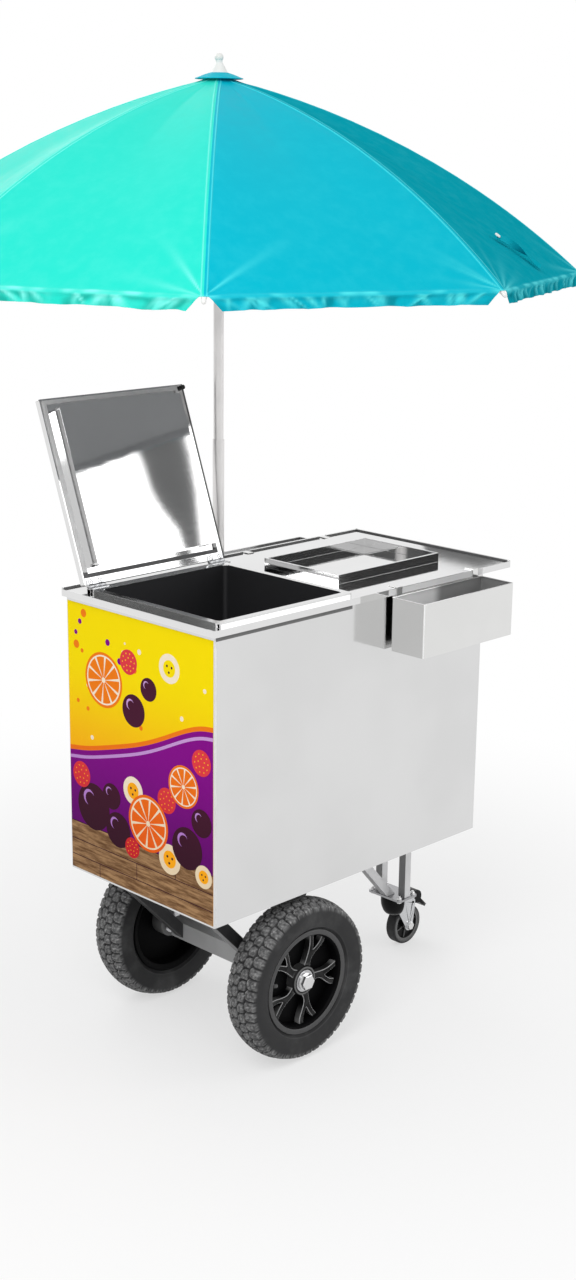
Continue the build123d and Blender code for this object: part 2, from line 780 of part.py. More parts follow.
def rim(side):
    """Moulded rim: flanged barrel, hub, closed web and split spokes in front of it."""
    barrel = rim_flange_radius - rim_barrel_depth
    reach = barrel - rim_wall / 2
    with BuildPart() as one_rim:
        with BuildSketch(wheel_axis_plane(side)):
            with BuildLine():
                Polyline(
                    (0, barrel),
                    (rim_flange_half - rim_lip, barrel),
                    (rim_flange_half - rim_lip + rim_lip_slope, rim_flange_radius),
                    (rim_flange_half, rim_flange_radius),
                    (rim_flange_half, rim_flange_radius - rim_wall),
                    (rim_flange_half - rim_wall, barrel - rim_wall),
                    (0, barrel - rim_wall),
                )
                mirror(about=Plane.YZ)
            make_face()
        revolve(axis=Axis((x_axle, wheel_y[side], z_axle), (0, 1, 0)))
        with BuildSketch(wheel_face_plane(side).offset(-hub_inner)):
            Circle(hub_radius)
        extrude(amount=hub_inner + hub_outer)
        with BuildSketch(wheel_face_plane(side).offset(spoke_face - spoke_thickness)):
            Circle(reach)
        extrude(amount=-rim_web_thickness)
        root = hub_radius - rim_wall
        wide = math.radians(spoke_wide_angle)
        split = math.radians(spoke_split_angle)
        with BuildSketch(wheel_face_plane(side).offset(spoke_face)):
            with PolarLocations(0, spoke_count, spoke_start_angle):
                with BuildLine():
                    Polyline(
                        (root, spoke_root_half),
                        (spoke_fork_radius - spoke_waist_setback, spoke_root_half - spoke_waist_inset),
                        (reach * math.cos(wide), reach * math.sin(wide)),
                        (reach * math.cos(split), reach * math.sin(split)),
                        (spoke_fork_radius, 0),
                    )
                    mirror(about=Plane.XZ)
                    Line((root, spoke_root_half), (root, -spoke_root_half))
                make_face()
        extrude(amount=-spoke_thickness)
        with BuildSketch(wheel_face_plane(side).offset(-hub_inner)):
            Circle(bearing_radius)
        extrude(amount=hub_inner + hub_outer, mode=Mode.SUBTRACT)
    return one_rim.part


def bearings(side):
    """Two ball bearings, drawn as rings, and the web of the hub between them."""
    with BuildPart() as pair:
        for start in (-hub_inner, hub_outer - bearing_width):
            with BuildSketch(wheel_face_plane(side).offset(start)):
                Circle(bearing_radius - running_fit)
                Circle(axle_radius + running_fit, mode=Mode.SUBTRACT)
            extrude(amount=bearing_width)
    return pair.part


for side, prefix in ((-1, "near"), (1, "far")):
    keep(tyre(side), prefix + "_tyre")
    keep(rim(side), prefix + "_rim")
    keep(bearings(side), prefix + "_bearings")

# Caster legs, brace and plate with the king pin
leg_bore = caster_leg_size - 2 * caster_leg_wall
with BuildPart() as caster_legs:
    for offset_y in (-caster_leg_spacing / 2, caster_leg_spacing / 2):
        with BuildSketch(Plane(origin=(x_swivel - caster_leg_setback, y_middle + offset_y, plate_top))):
            Rectangle(caster_leg_size, caster_leg_size)
            Rectangle(leg_bore, leg_bore, mode=Mode.SUBTRACT)
        extrude(amount=body_bottom - plate_top)
keep(caster_legs.part, "caster_legs")

with BuildPart() as caster_brace:
    foot = -brace_foot_setback
    for wall, mode in ((0.0, Mode.ADD), (caster_leg_wall, Mode.SUBTRACT)):
        run = brace_cut_length / 2 * (1 - 2 * wall / caster_leg_size)
        with BuildSketch(Plane(origin=(x_swivel, y_middle, 0), x_dir=(1, 0, 0), z_dir=(0, -1, 0))):
            with BuildLine():
                Polyline(
                    (foot + run, plate_top),
                    (foot - run, plate_top),
                    (foot - brace_reach - run, body_bottom),
                    (foot - brace_reach + run, body_bottom),
                    close=True,
                )
            make_face()
        extrude(amount=caster_leg_size / 2 - wall, both=True, mode=mode)
keep(caster_brace.part, "caster_brace")

with BuildPart() as caster_plate:
    with BuildSketch(Plane(origin=(x_swivel - caster_leg_setback, y_middle, caster_plate_bottom))):
        RectangleRounded(caster_plate_length, caster_plate_width, caster_plate_corner)
    extrude(amount=caster_plate_thickness)
    fork_top = caster_plate_bottom - king_boss_height - seat_gap
    fork_bottom = fork_top - fork_crown_thickness
    with BuildSketch(Plane(origin=(x_swivel, y_middle, caster_plate_bottom))):
        Circle(king_boss_radius)
    extrude(amount=-king_boss_height)
    with BuildSketch(Plane(origin=(x_swivel, y_middle, caster_plate_bottom))):
        Circle(king_pin_radius)
    extrude(amount=-(king_boss_height + fork_crown_thickness + 2 * seat_gap))
    with BuildSketch(Plane(origin=(x_swivel, y_middle, fork_bottom - seat_gap))):
        Circle(king_head_radius)
    extrude(amount=-king_head_height)
keep(caster_plate.part, "caster_plate")

# Caster fork: pressed crown with two legs that trail to the wheel axle
z_caster_axle = caster_radius
pedal_x = caster_trail + pedal_pivot_ahead
pedal_z = z_caster_axle + pedal_pivot_above

with BuildPart() as caster_fork:
    with BuildSketch(Plane(origin=(x_swivel, y_middle, fork_top))):
        Circle(fork_crown_radius)
        with Locations((fork_crown_radius / 2, 0)):
            Rectangle(fork_crown_radius, fork_inner_width + 2 * fork_leg_thickness)
    extrude(amount=-fork_crown_thickness)
    fork_side = Plane(origin=(x_swivel, y_middle, 0), x_dir=(1, 0, 0), z_dir=(0, -1, 0))
    for side in (-1, 1):
        leg_middle = side * (fork_inner_width + fork_leg_thickness) / 2
        with BuildSketch(fork_side.offset(leg_middle)):
            with BuildLine():
                Polyline(
                    (-fork_heel, fork_top),
                    (pedal_x - fork_nose_setback, fork_top),
                    (pedal_x + fork_nose_length, pedal_z + fork_nose_height),
                    (pedal_x + fork_nose_length, pedal_z - fork_nose_depth),
                    (caster_trail + fork_eye_radius, z_caster_axle),
                    (caster_trail - fork_eye_radius, z_caster_axle),
                    (-fork_heel, fork_bottom),
                    close=True,
                )
            make_face()
            with Locations((caster_trail, z_caster_axle)):
                Circle(fork_eye_radius)
            with Locations((caster_trail, z_caster_axle)):
                Circle(caster_axle_radius + running_fit, mode=Mode.SUBTRACT)
            with Locations((pedal_x, pedal_z)):
                Circle(pedal_pin_radius + running_fit, mode=Mode.SUBTRACT)
        extrude(amount=fork_leg_thickness / 2, both=True)
    with BuildSketch(Plane(origin=(x_swivel, y_middle, fork_top))):
        Circle(king_pin_radius + running_fit)
    extrude(amount=-fork_crown_thickness, mode=Mode.SUBTRACT)
keep(caster_fork.part, "caster_fork")

# Caster hood: moulded cover round the swivel, slotted for the fork's crown and legs
with BuildPart() as caster_hood:
    hood_top = caster_plate_bottom - hood_plate_gap
    with BuildSketch(Plane(origin=(x_swivel, y_middle, hood_top))):
        Circle(hood_radius)
        with Locations((hood_front + hood_radius, 0)):
            Rectangle(2 * hood_radius, 2 * hood_radius, mode=Mode.SUBTRACT)
    extrude(amount=-hood_drop)
    with BuildSketch(Plane(origin=(x_swivel, y_middle, hood_top))):
        Circle(king_boss_radius + hood_fit)
    extrude(amount=-hood_drop, mode=Mode.SUBTRACT)
    crown_top = fork_top + hood_fit
    with BuildSketch(Plane(origin=(x_swivel, y_middle, crown_top))):
        Circle(fork_crown_radius + hood_fit)
    extrude(amount=-(fork_crown_thickness + 2 * hood_fit), mode=Mode.SUBTRACT)
    leg_slot_end = -fork_heel - hood_fit
    leg_slot_half = fork_inner_width / 2 + fork_leg_thickness + hood_fit
    with BuildSketch(Plane(origin=(x_swivel, y_middle, crown_top))):
        with Locations((leg_slot_end + hood_radius, 0)):
            Rectangle(2 * hood_radius, 2 * leg_slot_half)
    extrude(amount=-hood_drop, mode=Mode.SUBTRACT)
keep(caster_hood.part, "caster_hood")

with BuildPart() as caster_axle:
    axle_side = Plane(origin=(x_caster_wheel, y_middle, z_caster_axle), x_dir=(1, 0, 0), z_dir=(0, -1, 0))
    fork_half = fork_inner_width / 2 + fork_leg_thickness
    with BuildSketch(axle_side):
        Circle(caster_axle_radius)
    extrude(amount=fork_half + caster_axle_end, both=True)
    for side in (-1, 1):
        nut_plane = Plane(
            origin=(x_caster_wheel, y_middle + side * (fork_half + seat_gap), z_caster_axle),
            x_dir=(-side, 0, 0),
            z_dir=(0, side, 0),
        )
        with BuildSketch(nut_plane):
            RegularPolygon(caster_nut_across_flats / 2, 6, major_radius=False)
        extrude(amount=caster_nut_height)
keep(caster_axle.part, "caster_axle")

# Caster wheel: hub and dished web inside a rubber tread
with BuildPart() as caster_wheel:
    hub_edge = caster_radius - caster_tread_thickness
    hub_half = fork_inner_width / 2 - caster_hub_gap
    tread_half = caster_tread_width / 2
    wheel_centre = (x_caster_wheel, y_middle, z_caster_axle)
    wheel_section = Plane(origin=wheel_centre, x_dir=(0, 1, 0), z_dir=(1, 0, 0))
    with BuildSketch(wheel_section):
        with BuildLine():
            Polyline(
                (0, caster_axle_radius + running_fit),
                (hub_half, caster_axle_radius + running_fit),
                (hub_half, caster_hub_radius),
                (caster_web_thickness / 2, caster_web_radius),
                (caster_web_thickness / 2, hub_edge - caster_rim_depth),
                (tread_half - caster_rim_inset, hub_edge - caster_rim_lip),
                (tread_half - caster_rim_inset, hub_edge),
                (0, hub_edge),
            )
            mirror(about=Plane.YZ)
        make_face()
    revolve(axis=Axis(wheel_centre, (0, 1, 0)))
keep(caster_wheel.part, "caster_wheel")

with BuildPart() as caster_tread:
    round_side = (tread_half, caster_radius - caster_tread_round)
    round_top = (tread_half - caster_tread_round, caster_radius)
    round_cut = caster_tread_round * (1 - math.sqrt(0.5))
    with BuildSketch(wheel_section):
        with BuildLine():
            Polyline((0, hub_edge + running_fit), (tread_half, hub_edge + running_fit), round_side)
            ThreePointArc(round_side, (tread_half - round_cut, caster_radius - round_cut), round_top)
            Line(round_top, (0, caster_radius))
            mirror(about=Plane.YZ)
        make_face()
    revolve(axis=Axis(wheel_centre, (0, 1, 0)))
keep(caster_tread.part, "caster_tread")

# Brake pedal: humped lever with a downturned toe, on a cross pin between the fork legs
with BuildPart() as brake_pedal:
    pedal_origin = (x_swivel + pedal_x, y_middle, pedal_z)
    pedal_side = Plane(origin=pedal_origin, x_dir=(1, 0, 0), z_dir=(0, -1, 0))
    with BuildSketch(pedal_side):
        Circle(pedal_tube_radius)
    extrude(amount=fork_inner_width / 2 - pedal_side_gap, both=True)
    with BuildSketch(pedal_side):
        Circle(pedal_pin_radius)
    extrude(amount=fork_half + pedal_pin_end, both=True)
    neck = (pedal_hump_length, -pedal_neck_drop)
    with BuildSketch(pedal_side):
        with BuildLine():
            ThreePointArc((0, pedal_tube_radius), (pedal_hump_length / 2, pedal_hump_rise), neck)
            Polyline(
                neck,
                (pedal_toe_reach, -pedal_toe_drop),
                (pedal_toe_reach - pedal_toe_cut, -pedal_toe_drop - pedal_toe_cut),
                (pedal_belly_reach, -pedal_belly_drop),
                (0, -pedal_tube_radius),
                (0, pedal_tube_radius),
            )
        make_face()
    extrude(amount=pedal_width / 2, both=True)
keep(brake_pedal.part, "brake_pedal")

# Pole holder: socket tube on two brackets on the back panel, with a clamp boss
socket_radius = lower_pole_radius + running_fit
holder_radius = socket_radius + holder_wall
with BuildPart() as pole_holder:
    with BuildSketch(Plane.XY.offset(pole_foot - holder_floor)):
        Circle(holder_radius)
    extrude(amount=holder_top - pole_foot + holder_floor)
    for bracket_z in (pole_foot + bracket_height, holder_top - bracket_height):
        panel_plane = Plane(origin=(0, y_back, bracket_z), x_dir=(-1, 0, 0), z_dir=(0, 1, 0))
        with BuildSketch(panel_plane):
            RectangleRounded(bracket_width, bracket_height, bracket_corner)
        extrude(amount=bracket_plate)
        with BuildSketch(panel_plane):
            Rectangle(bracket_neck, bracket_height)
        extrude(amount=pole_behind_back)
    with BuildSketch(Plane(origin=(0, 0, knob_height), x_dir=(-1, 0, 0), z_dir=(0, 1, 0))):
        Circle(knob_boss_radius)
    extrude(amount=holder_radius + knob_boss_length)
    with BuildSketch(Plane.XY.offset(pole_foot)):
        Circle(socket_radius)
    extrude(amount=holder_top - pole_foot, mode=Mode.SUBTRACT)
    with BuildSketch(Plane(origin=(0, 0, knob_height), x_dir=(-1, 0, 0), z_dir=(0, 1, 0))):
        Circle(knob_screw_radius + running_fit)
    extrude(amount=holder_radius + knob_boss_length, mode=Mode.SUBTRACT)
keep(pole_holder.part, "pole_holder")

with BuildPart() as holder_knob:
    knob_y = holder_radius + knob_boss_length + seat_gap
    knob_seat = Plane(origin=(0, knob_y, knob_height), x_dir=(-1, 0, 0), z_dir=(0, 1, 0))
    with BuildSketch(knob_seat):
        Circle(knob_core_radius)
        with PolarLocations(knob_radius - knob_lobe_radius, knob_lobe_count):
            Circle(knob_lobe_radius)
    extrude(amount=knob_depth)
    with BuildSketch(knob_seat):
        Circle(knob_screw_radius)
    extrude(amount=-(holder_wall + knob_boss_length))
keep(holder_knob.part, "holder_knob")

# Pole: lower tube with a stop pin, upper tube that slides in it
lower_bore = upper_pole_radius + running_fit
upper_foot = pole_joint_height - pole_insert
chord_slope = math.radians((crown_slope + hem_slope) / 2)
chord_run = canopy_radius - pivot_ring_radius
crown_z = tip_height + chord_run * math.tan(chord_slope)
pole_top = crown_z + canopy_apex_rise + pole_end_height

with BuildPart() as lower_pole:
    with BuildSketch(Plane.XY.offset(pole_foot + seat_gap)):
        Circle(lower_pole_radius)
        Circle(lower_bore, mode=Mode.SUBTRACT)
    extrude(amount=pole_joint_height - pole_foot - seat_gap)
    stop_z = upper_foot - seat_gap - stop_pin_radius
    with BuildSketch(Plane(origin=(0, 0, stop_z), x_dir=(0, 1, 0), z_dir=(1, 0, 0))):
        Circle(stop_pin_radius)
    extrude(amount=lower_pole_radius - stop_pin_inset, both=True)
keep(lower_pole.part, "lower_pole")

with BuildPart() as upper_pole:
    with BuildSketch(Plane.XY.offset(upper_foot)):
        Circle(upper_pole_radius)
        Circle(upper_pole_radius - upper_pole_wall, mode=Mode.SUBTRACT)
    extrude(amount=pole_top - upper_foot)
keep(upper_pole.part, "upper_pole")


# Umbrella frame: crown, ribs, struts and runner
def rib_plane(index):
    """Vertical plane through the pole and rib number index: local x radial, local y up."""
    turn = math.radians(360 / rib_count * index)
    return Plane(
        origin=(0, 0, 0),
        x_dir=(math.cos(turn), math.sin(turn), 0),
        z_dir=(math.sin(turn), -math.cos(turn), 0),
    )


arc_turn = math.radians(hem_slope - crown_slope)
arc_radius = chord_run / math.cos(chord_slope) / (2 * math.sin(arc_turn / 2))
arc_centre = (
    pivot_ring_radius - arc_radius * math.sin(math.radians(crown_slope)),
    crown_z - arc_radius * math.cos(math.radians(crown_slope)),
)


def on_arc(slope, lift=0.0):
    """Point of the rib's arc where it slopes down by slope degrees, lifted square to the arc."""
    angle = math.radians(slope)
    return (
        arc_centre[0] + (arc_radius + lift) * math.sin(angle),
        arc_centre[1] + (arc_radius + lift) * math.cos(angle),
    )


strut_angle = math.radians(strut_slope)
joint_point = (
    pivot_ring_radius + strut_length * math.cos(strut_angle),
    crown_z - strut_length * math.sin(strut_angle),
)
runner_z = crown_z - 2 * strut_length * math.sin(strut_angle)
ear_slope = math.degrees(math.atan2(joint_point[0] - arc_centre[0], joint_point[1] - arc_centre[1]))
neck_slope = crown_slope + math.degrees(neck_length / arc_radius)
neck_overlap = math.degrees(neck_lap / arc_radius)
cap_slope = hem_slope - math.degrees(tip_cap_length / arc_radius)


def arched_rib():
    """Arched rib with an eye at the crown, an ear for its strut and a capped tip."""
    plane = rib_plane(0)
    with BuildPart() as one_rib:
        with BuildLine(plane) as path:
            ThreePointArc(on_arc(neck_slope), on_arc((neck_slope + hem_slope) / 2), on_arc(hem_slope))
        with BuildSketch(Plane(origin=path.line @ 0, x_dir=plane.z_dir, z_dir=path.line % 0)):
            Circle(rib_radius)
        sweep()
        with BuildSketch(plane):
            with BuildLine():
                Polyline(
                    on_arc(crown_slope, neck_half),
                    on_arc(neck_slope + neck_overlap, neck_half),
                    on_arc(neck_slope + neck_overlap, -neck_half),
                    on_arc(crown_slope, -neck_half),
                    close=True,
                )
            make_face()
            with Locations((pivot_ring_radius, crown_z)):
                Circle(rib_eye_radius)
                Circle(pivot_pin_radius + running_fit, mode=Mode.SUBTRACT)
        extrude(amount=rib_eye_width / 2, both=True)
        with BuildSketch(plane):
            with BuildLine():
                Polyline(
                    on_arc(ear_slope - ear_half_angle),
                    on_arc(ear_slope + ear_half_angle),
                    (joint_point[0] + ear_half_width, joint_point[1]),
                    (joint_point[0] - ear_half_width, joint_point[1]),
                    close=True,
                )
            make_face()
            with Locations(joint_point):
                Circle(ear_radius)
                Circle(pivot_pin_radius + running_fit, mode=Mode.SUBTRACT)
        extrude(amount=rib_eye_width / 2, both=True)
        tip = plane.from_local_coords((*on_arc(cap_slope), 0))
        end = plane.from_local_coords((*on_arc(hem_slope), 0))
        with BuildSketch(Plane(origin=tip, x_dir=plane.z_dir, z_dir=end - tip)):
            Circle(tip_cap_radius)
        extrude(amount=tip_cap_length)
    return one_rib.part


def straight_strut():
    """Straight strut: a clevis with its pin at the rib's ear, an eye at the runner."""
    plane = rib_plane(0)
    start = joint_point
    finish = (pivot_ring_radius, runner_z)
    along = Vector(finish[0] - start[0], finish[1] - start[1]).normalized()
    across = Vector(-along.Y, along.X)

    def at(distance, side_step=0.0):
        return (
            start[0] + along.X * distance + across.X * side_step,
            start[1] + along.Y * distance + across.Y * side_step,
        )

    cheek_in = rib_eye_width / 2 + clevis_gap
    cheek_out = cheek_in + clevis_cheek
    bridge = clevis_radius + clevis_throat
    block = bridge + clevis_bridge
    high = clevis_half_height
    with BuildPart() as one_strut:
        with BuildSketch(plane):
            with BuildLine():
                Polyline(at(0, high), at(block, high), at(block, -high), at(0, -high), close=True)
            make_face()
            with Locations(start):
                Circle(clevis_radius)
        extrude(amount=cheek_out, both=True)
        with BuildSketch(plane):
            with BuildLine():
                wide = 2 * high
                Polyline(
                    at(-bridge, wide), at(bridge, wide), at(bridge, -wide), at(-bridge, -wide), close=True
                )
            make_face()
        extrude(amount=cheek_in, both=True, mode=Mode.SUBTRACT)
        with BuildSketch(plane):
            with Locations(start):
                Circle(pivot_pin_radius)
        extrude(amount=cheek_out, both=True)
        rod_start = plane.from_local_coords((*at(bridge + rod_lap), 0))
        rod_end = plane.from_local_coords((*at(strut_length - neck_length), 0))
        with BuildSketch(Plane(origin=rod_start, x_dir=plane.z_dir, z_dir=rod_end - rod_start)):
            Circle(strut_radius)
        extrude(amount=(rod_end - rod_start).length)
        with BuildSketch(plane):
            with BuildLine():
                Polyline(
                    at(strut_length - neck_length - neck_lap, neck_half),
                    at(strut_length, neck_half),
                    at(strut_length, -neck_half),
                    at(strut_length - neck_length - neck_lap, -neck_half),
                    close=True,
                )
            make_face()
            with Locations(finish):
                Circle(rib_eye_radius)
                Circle(pivot_pin_radius + running_fit, mode=Mode.SUBTRACT)
        extrude(amount=rib_eye_width / 2, both=True)
    return one_strut.part


first_rib = arched_rib()
first_strut = straight_strut()
for index in range(rib_count):
    keep(first_rib.rotate(Axis.Z, 360 / rib_count * index), f"rib_{index + 1}")
    keep(first_strut.rotate(Axis.Z, 360 / rib_count * index), f"strut_{index + 1}")

with BuildPart() as crown:
    with BuildSketch(Plane.XY.offset(crown_z - crown_below)):
        Circle(crown_radius)
    extrude(amount=crown_below + crown_above)
    with BuildSketch(Plane.XY.offset(crown_z - crown_below)):
        with PolarLocations(crown_core_radius, rib_count):
            Rectangle(2 * crown_radius, crown_notch, align=(Align.MIN, Align.CENTER))
    extrude(amount=crown_below + crown_above, mode=Mode.SUBTRACT)
    for index in range(rib_count):
        with BuildSketch(rib_plane(index)):
            with Locations((pivot_ring_radius, crown_z)):
                Circle(pivot_pin_radius)
        extrude(amount=crown_notch / 2 + crown_pin_end, both=True)
    with BuildSketch(Plane.XY.offset(crown_z - crown_below)):
        Circle(upper_pole_radius + running_fit)
    extrude(amount=crown_below + crown_above, mode=Mode.SUBTRACT)
keep(crown.part, "crown")

with BuildPart() as runner:
    with BuildSketch(Plane.XY.offset(runner_z - runner_below)):
        Circle(runner_sleeve_radius)
    extrude(amount=runner_below + runner_above)
    with BuildSketch(Plane.XY.offset(runner_z - runner_below)):
        Circle(runner_sleeve_radius + runner_lip)
    extrude(amount=runner_lip_height)
    with BuildSketch(Plane.XY.offset(runner_z - crown_below)):
        Circle(crown_radius)
    extrude(amount=2 * crown_below)
    with BuildSketch(Plane.XY.offset(runner_z - crown_below)):
        with PolarLocations(crown_core_radius, rib_count):
            Rectangle(2 * crown_radius, runner_notch, align=(Align.MIN, Align.CENTER))
    extrude(amount=2 * crown_below, mode=Mode.SUBTRACT)
    with BuildSketch(Plane.XY.offset(runner_z - runner_below)):
        Circle(upper_pole_radius + running_fit)
    extrude(amount=runner_below + runner_above, mode=Mode.SUBTRACT)
keep(runner.part, "runner")

# Canopy: cloth shell over the ribs, eight ridges, with a valance strip on each side
with BuildPart() as canopy:
    cloth_radius = arc_radius + canopy_offset
    first_slope = math.degrees(math.asin((canopy_first_radius - arc_centre[0]) / cloth_radius))
    ridge = [(canopy_apex_radius, crown_z + canopy_apex_rise)]
    for band in range(canopy_bands + 1):
        slope = first_slope + (hem_slope - first_slope) * band / canopy_bands
        ridge.append(on_arc(slope, canopy_offset))
    for drop, mode in ((0.0, Mode.ADD), (canopy_cloth, Mode.SUBTRACT)):
        for radius, height in ridge:
            with BuildSketch(Plane.XY.offset(height - drop)):
                RegularPolygon(radius, rib_count)
        loft(ruled=True, mode=mode)
    with BuildSketch(Plane.XY.offset(crown_z)):
        Circle(upper_pole_radius + running_fit)
    extrude(amount=2 * canopy_apex_rise, mode=Mode.SUBTRACT)
    hem_radius, hem_z = ridge[-1]
    half_turn = math.pi / rib_count
    flat_distance = hem_radius * math.cos(half_turn)
    half_side = hem_radius * math.sin(half_turn)
    for index in range(rib_count):
        middle = math.radians(360 / rib_count * (index + 0.5))
        outward = Vector(math.cos(middle), math.sin(middle), 0)
        strip = Plane(
            origin=(outward.X * flat_distance, outward.Y * flat_distance, hem_z),
            x_dir=(-outward.Y, outward.X, 0),
            z_dir=(outward.X, outward.Y, 0),
        )
        top = half_side - valance_corner_gap
        low = half_side - valance_taper
        with BuildSketch(strip):
            with BuildLine():
                Polyline((-top, 0), (top, 0), (low, -valance_height), (-low, -valance_height), close=True)
            make_face()
        extrude(amount=-canopy_cloth)
keep(canopy.part, "canopy")

# Finial: turned cap on the pole above the canopy
with BuildPart() as finial:
    finial_base = crown_z + canopy_apex_rise + seat_gap
    pole_recess = pole_top + seat_gap
    ball_z = finial_height - finial_ball_radius
    ball_foot = ball_z - math.sqrt(finial_ball_radius**2 - finial_neck_radius**2)
    with BuildSketch(Plane(origin=(0, 0, finial_base), x_dir=(1, 0, 0), z_dir=(0, -1, 0))):
        with BuildLine():
            Polyline(
                (upper_pole_radius + running_fit, 0),
                (finial_radius, 0),
                (finial_radius, finial_rim),
                (finial_neck_radius, ball_foot - finial_rim),
                (finial_neck_radius, ball_foot),
            )
            ThreePointArc((finial_neck_radius, ball_foot), (finial_ball_radius, ball_z), (0, finial_height))
            Polyline(
                (0, finial_height),
                (0, pole_recess - finial_base),
                (upper_pole_radius + running_fit, pole_recess - finial_base),
                (upper_pole_radius + running_fit, 0),
            )
        make_face()
    revolve(axis=Axis.Z)
keep(finial.part, "finial")

for piece in pieces:
    export_step(piece, f"parts/{piece.label}.step")
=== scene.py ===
import random
from math import atan, atan2, copysign, cos, exp, hypot, pi, radians, sin, sqrt, tan

import bmesh
import bpy
from mathutils import Matrix, Vector, noise


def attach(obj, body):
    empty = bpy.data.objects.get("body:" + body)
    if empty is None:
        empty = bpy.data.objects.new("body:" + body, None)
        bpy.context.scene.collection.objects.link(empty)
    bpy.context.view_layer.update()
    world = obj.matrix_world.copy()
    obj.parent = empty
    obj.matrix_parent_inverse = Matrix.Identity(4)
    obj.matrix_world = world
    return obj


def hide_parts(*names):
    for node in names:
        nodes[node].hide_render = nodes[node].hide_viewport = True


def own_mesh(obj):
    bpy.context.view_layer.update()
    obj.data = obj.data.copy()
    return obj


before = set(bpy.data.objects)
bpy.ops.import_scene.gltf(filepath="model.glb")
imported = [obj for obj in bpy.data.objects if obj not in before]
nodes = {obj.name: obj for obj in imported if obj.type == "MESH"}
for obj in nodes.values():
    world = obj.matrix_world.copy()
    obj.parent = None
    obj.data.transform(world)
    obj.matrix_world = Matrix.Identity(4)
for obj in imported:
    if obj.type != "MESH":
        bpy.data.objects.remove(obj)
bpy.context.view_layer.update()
scene = bpy.context.scene
UP = Vector((0, 0, 1))
SIDES = (-1, 1)

# Picture: the photograph's viewing angle for a frame of 576 x 1280.
FRAME_HEIGHT = 1280
FOCAL_PIXELS = 1805.9
CAMERA_PLACE = Vector((-2.6804, -2.8659, 1.8366))
CAMERA_YAW, CAMERA_PITCH, CAMERA_ROLL = (radians(a) for a in (44.622, 15.169, 0.695))
SENSOR = 36.0
FAR_CLIP = 200.0


def put(name, data):
    thing = bpy.data.objects.new(name, data)
    scene.collection.objects.link(thing)
    return thing


def level_way(turn):
    """The level direction at that angle from +X."""
    return Vector((cos(turn), sin(turn), 0))


def place_camera():
    cam = bpy.data.cameras.new("camera")
    cam.sensor_width = SENSOR
    cam.lens = SENSOR * FOCAL_PIXELS / FRAME_HEIGHT
    cam.clip_end = FAR_CLIP
    holder = put("camera", cam)
    level = cos(CAMERA_PITCH)
    ahead = Vector((level * cos(CAMERA_YAW), level * sin(CAMERA_YAW), -sin(CAMERA_PITCH)))
    right = Vector((sin(CAMERA_YAW), -cos(CAMERA_YAW), 0.0))
    up = right.cross(ahead)
    across = right * cos(CAMERA_ROLL) + up * sin(CAMERA_ROLL)
    upward = up * cos(CAMERA_ROLL) - right * sin(CAMERA_ROLL)
    turn = Matrix((across, upward, -ahead)).transposed()
    holder.matrix_world = Matrix.Translation(CAMERA_PLACE) @ turn.to_4x4()
    scene.camera = holder


place_camera()

# Looks, listed under their names.
LOOKS = {}
MIX_SOCKETS = (0, 6, 7)
MIX_RESULT = 2


class Shader:
    """The nodes of a look or of the surround, fed socket by socket."""

    def __init__(self, owner, last, **sockets):
        owner.use_nodes = True
        self.tree = owner.node_tree
        self.last = self.tree.nodes[last]
        self.give(**sockets)

    def feed(self, socket, value):
        if isinstance(value, bpy.types.NodeSocket):
            self.tree.links.new(value, socket)
        else:
            socket.default_value = value

    def fill(self, node, *values):
        """Feed a node's sockets in their order."""
        for socket, value in zip(node.inputs, values):
            self.feed(socket, value)
        return node.outputs[0]

    def set(self, node, **sockets):
        for name, value in sockets.items():
            self.feed(node.inputs[name.replace("_", " ")], value)
        return node

    def give(self, **sockets):
        """Feed the node that makes the finish."""
        self.set(self.last, **sockets)

    def add(self, kind, props=None, **sockets):
        node = self.tree.nodes.new("ShaderNode" + kind)
        for name, value in (props or {}).items():
            setattr(node, name, value)
        return self.set(node, **sockets)

    def place(self, axis=None):
        """The place at rest, or its part along one axis."""
        where = self.add("TexCoord").outputs["Object"]
        return self.add("SeparateXYZ", Vector=where).outputs[axis] if axis else where

    def marked(self, name):
        """The value that each point holds under that name."""
        return self.add("Attribute", {"attribute_name": name}).outputs["Fac"]

    def noise(self, scale, detail=3.0, stretch=(1, 1, 1), rough=0.55):
        where = self.add("Mapping", Vector=self.place(), Scale=stretch).outputs[0]
        return self.add("TexNoise", Vector=where, Scale=scale, Detail=detail, Roughness=rough).outputs["Fac"]

    def ramp(self, value, low, high, to_low=0.0, to_high=1.0):
        return self.add("MapRange", {"interpolation_type": "SMOOTHSTEP"}, Value=value, From_Min=low,
                        From_Max=high, To_Min=to_low, To_Max=to_high).outputs[0]

    def mix(self, share, low, high):
        node = self.add("Mix", {"data_type": "RGBA"})
        for socket, value in zip(MIX_SOCKETS, (share, low, high)):
            self.feed(node.inputs[socket], value)
        return node.outputs[MIX_RESULT]

    def math(self, kind, *values):
        return self.fill(self.add("Math", {"operation": kind}), *values)

    def bump(self, height, strength, distance):
        node = self.add("Bump", Height=height, Strength=strength, Distance=distance)
        self.give(Normal=node.outputs[0])

    def zone(self, **spans):
        """1 inside the given spans of the place at rest, such as X=(low, high), and 0 outside."""
        share = 1.0
        for axis, (low, high) in spans.items():
            off = self.math("ABSOLUTE", self.math("SUBTRACT", self.place(axis), (low + high) / 2))
            share = self.math("MULTIPLY", share, self.math("LESS_THAN", off, (high - low) / 2))
        return share

    def near(self, spot, radius):
        """1 within radius of a spot, 0 outside."""
        gap = self.add("VectorMath", {"operation": "DISTANCE"})
        self.fill(gap, self.place(), spot)
        return self.math("LESS_THAN", gap.outputs["Value"], radius)

    def seen(self):
        """1 for what the eye or a bright face sees, 0 for the light that falls on dull faces."""
        ray = self.add("LightPath").outputs
        return self.math("MAXIMUM", ray["Is Camera Ray"], ray["Is Glossy Ray"])


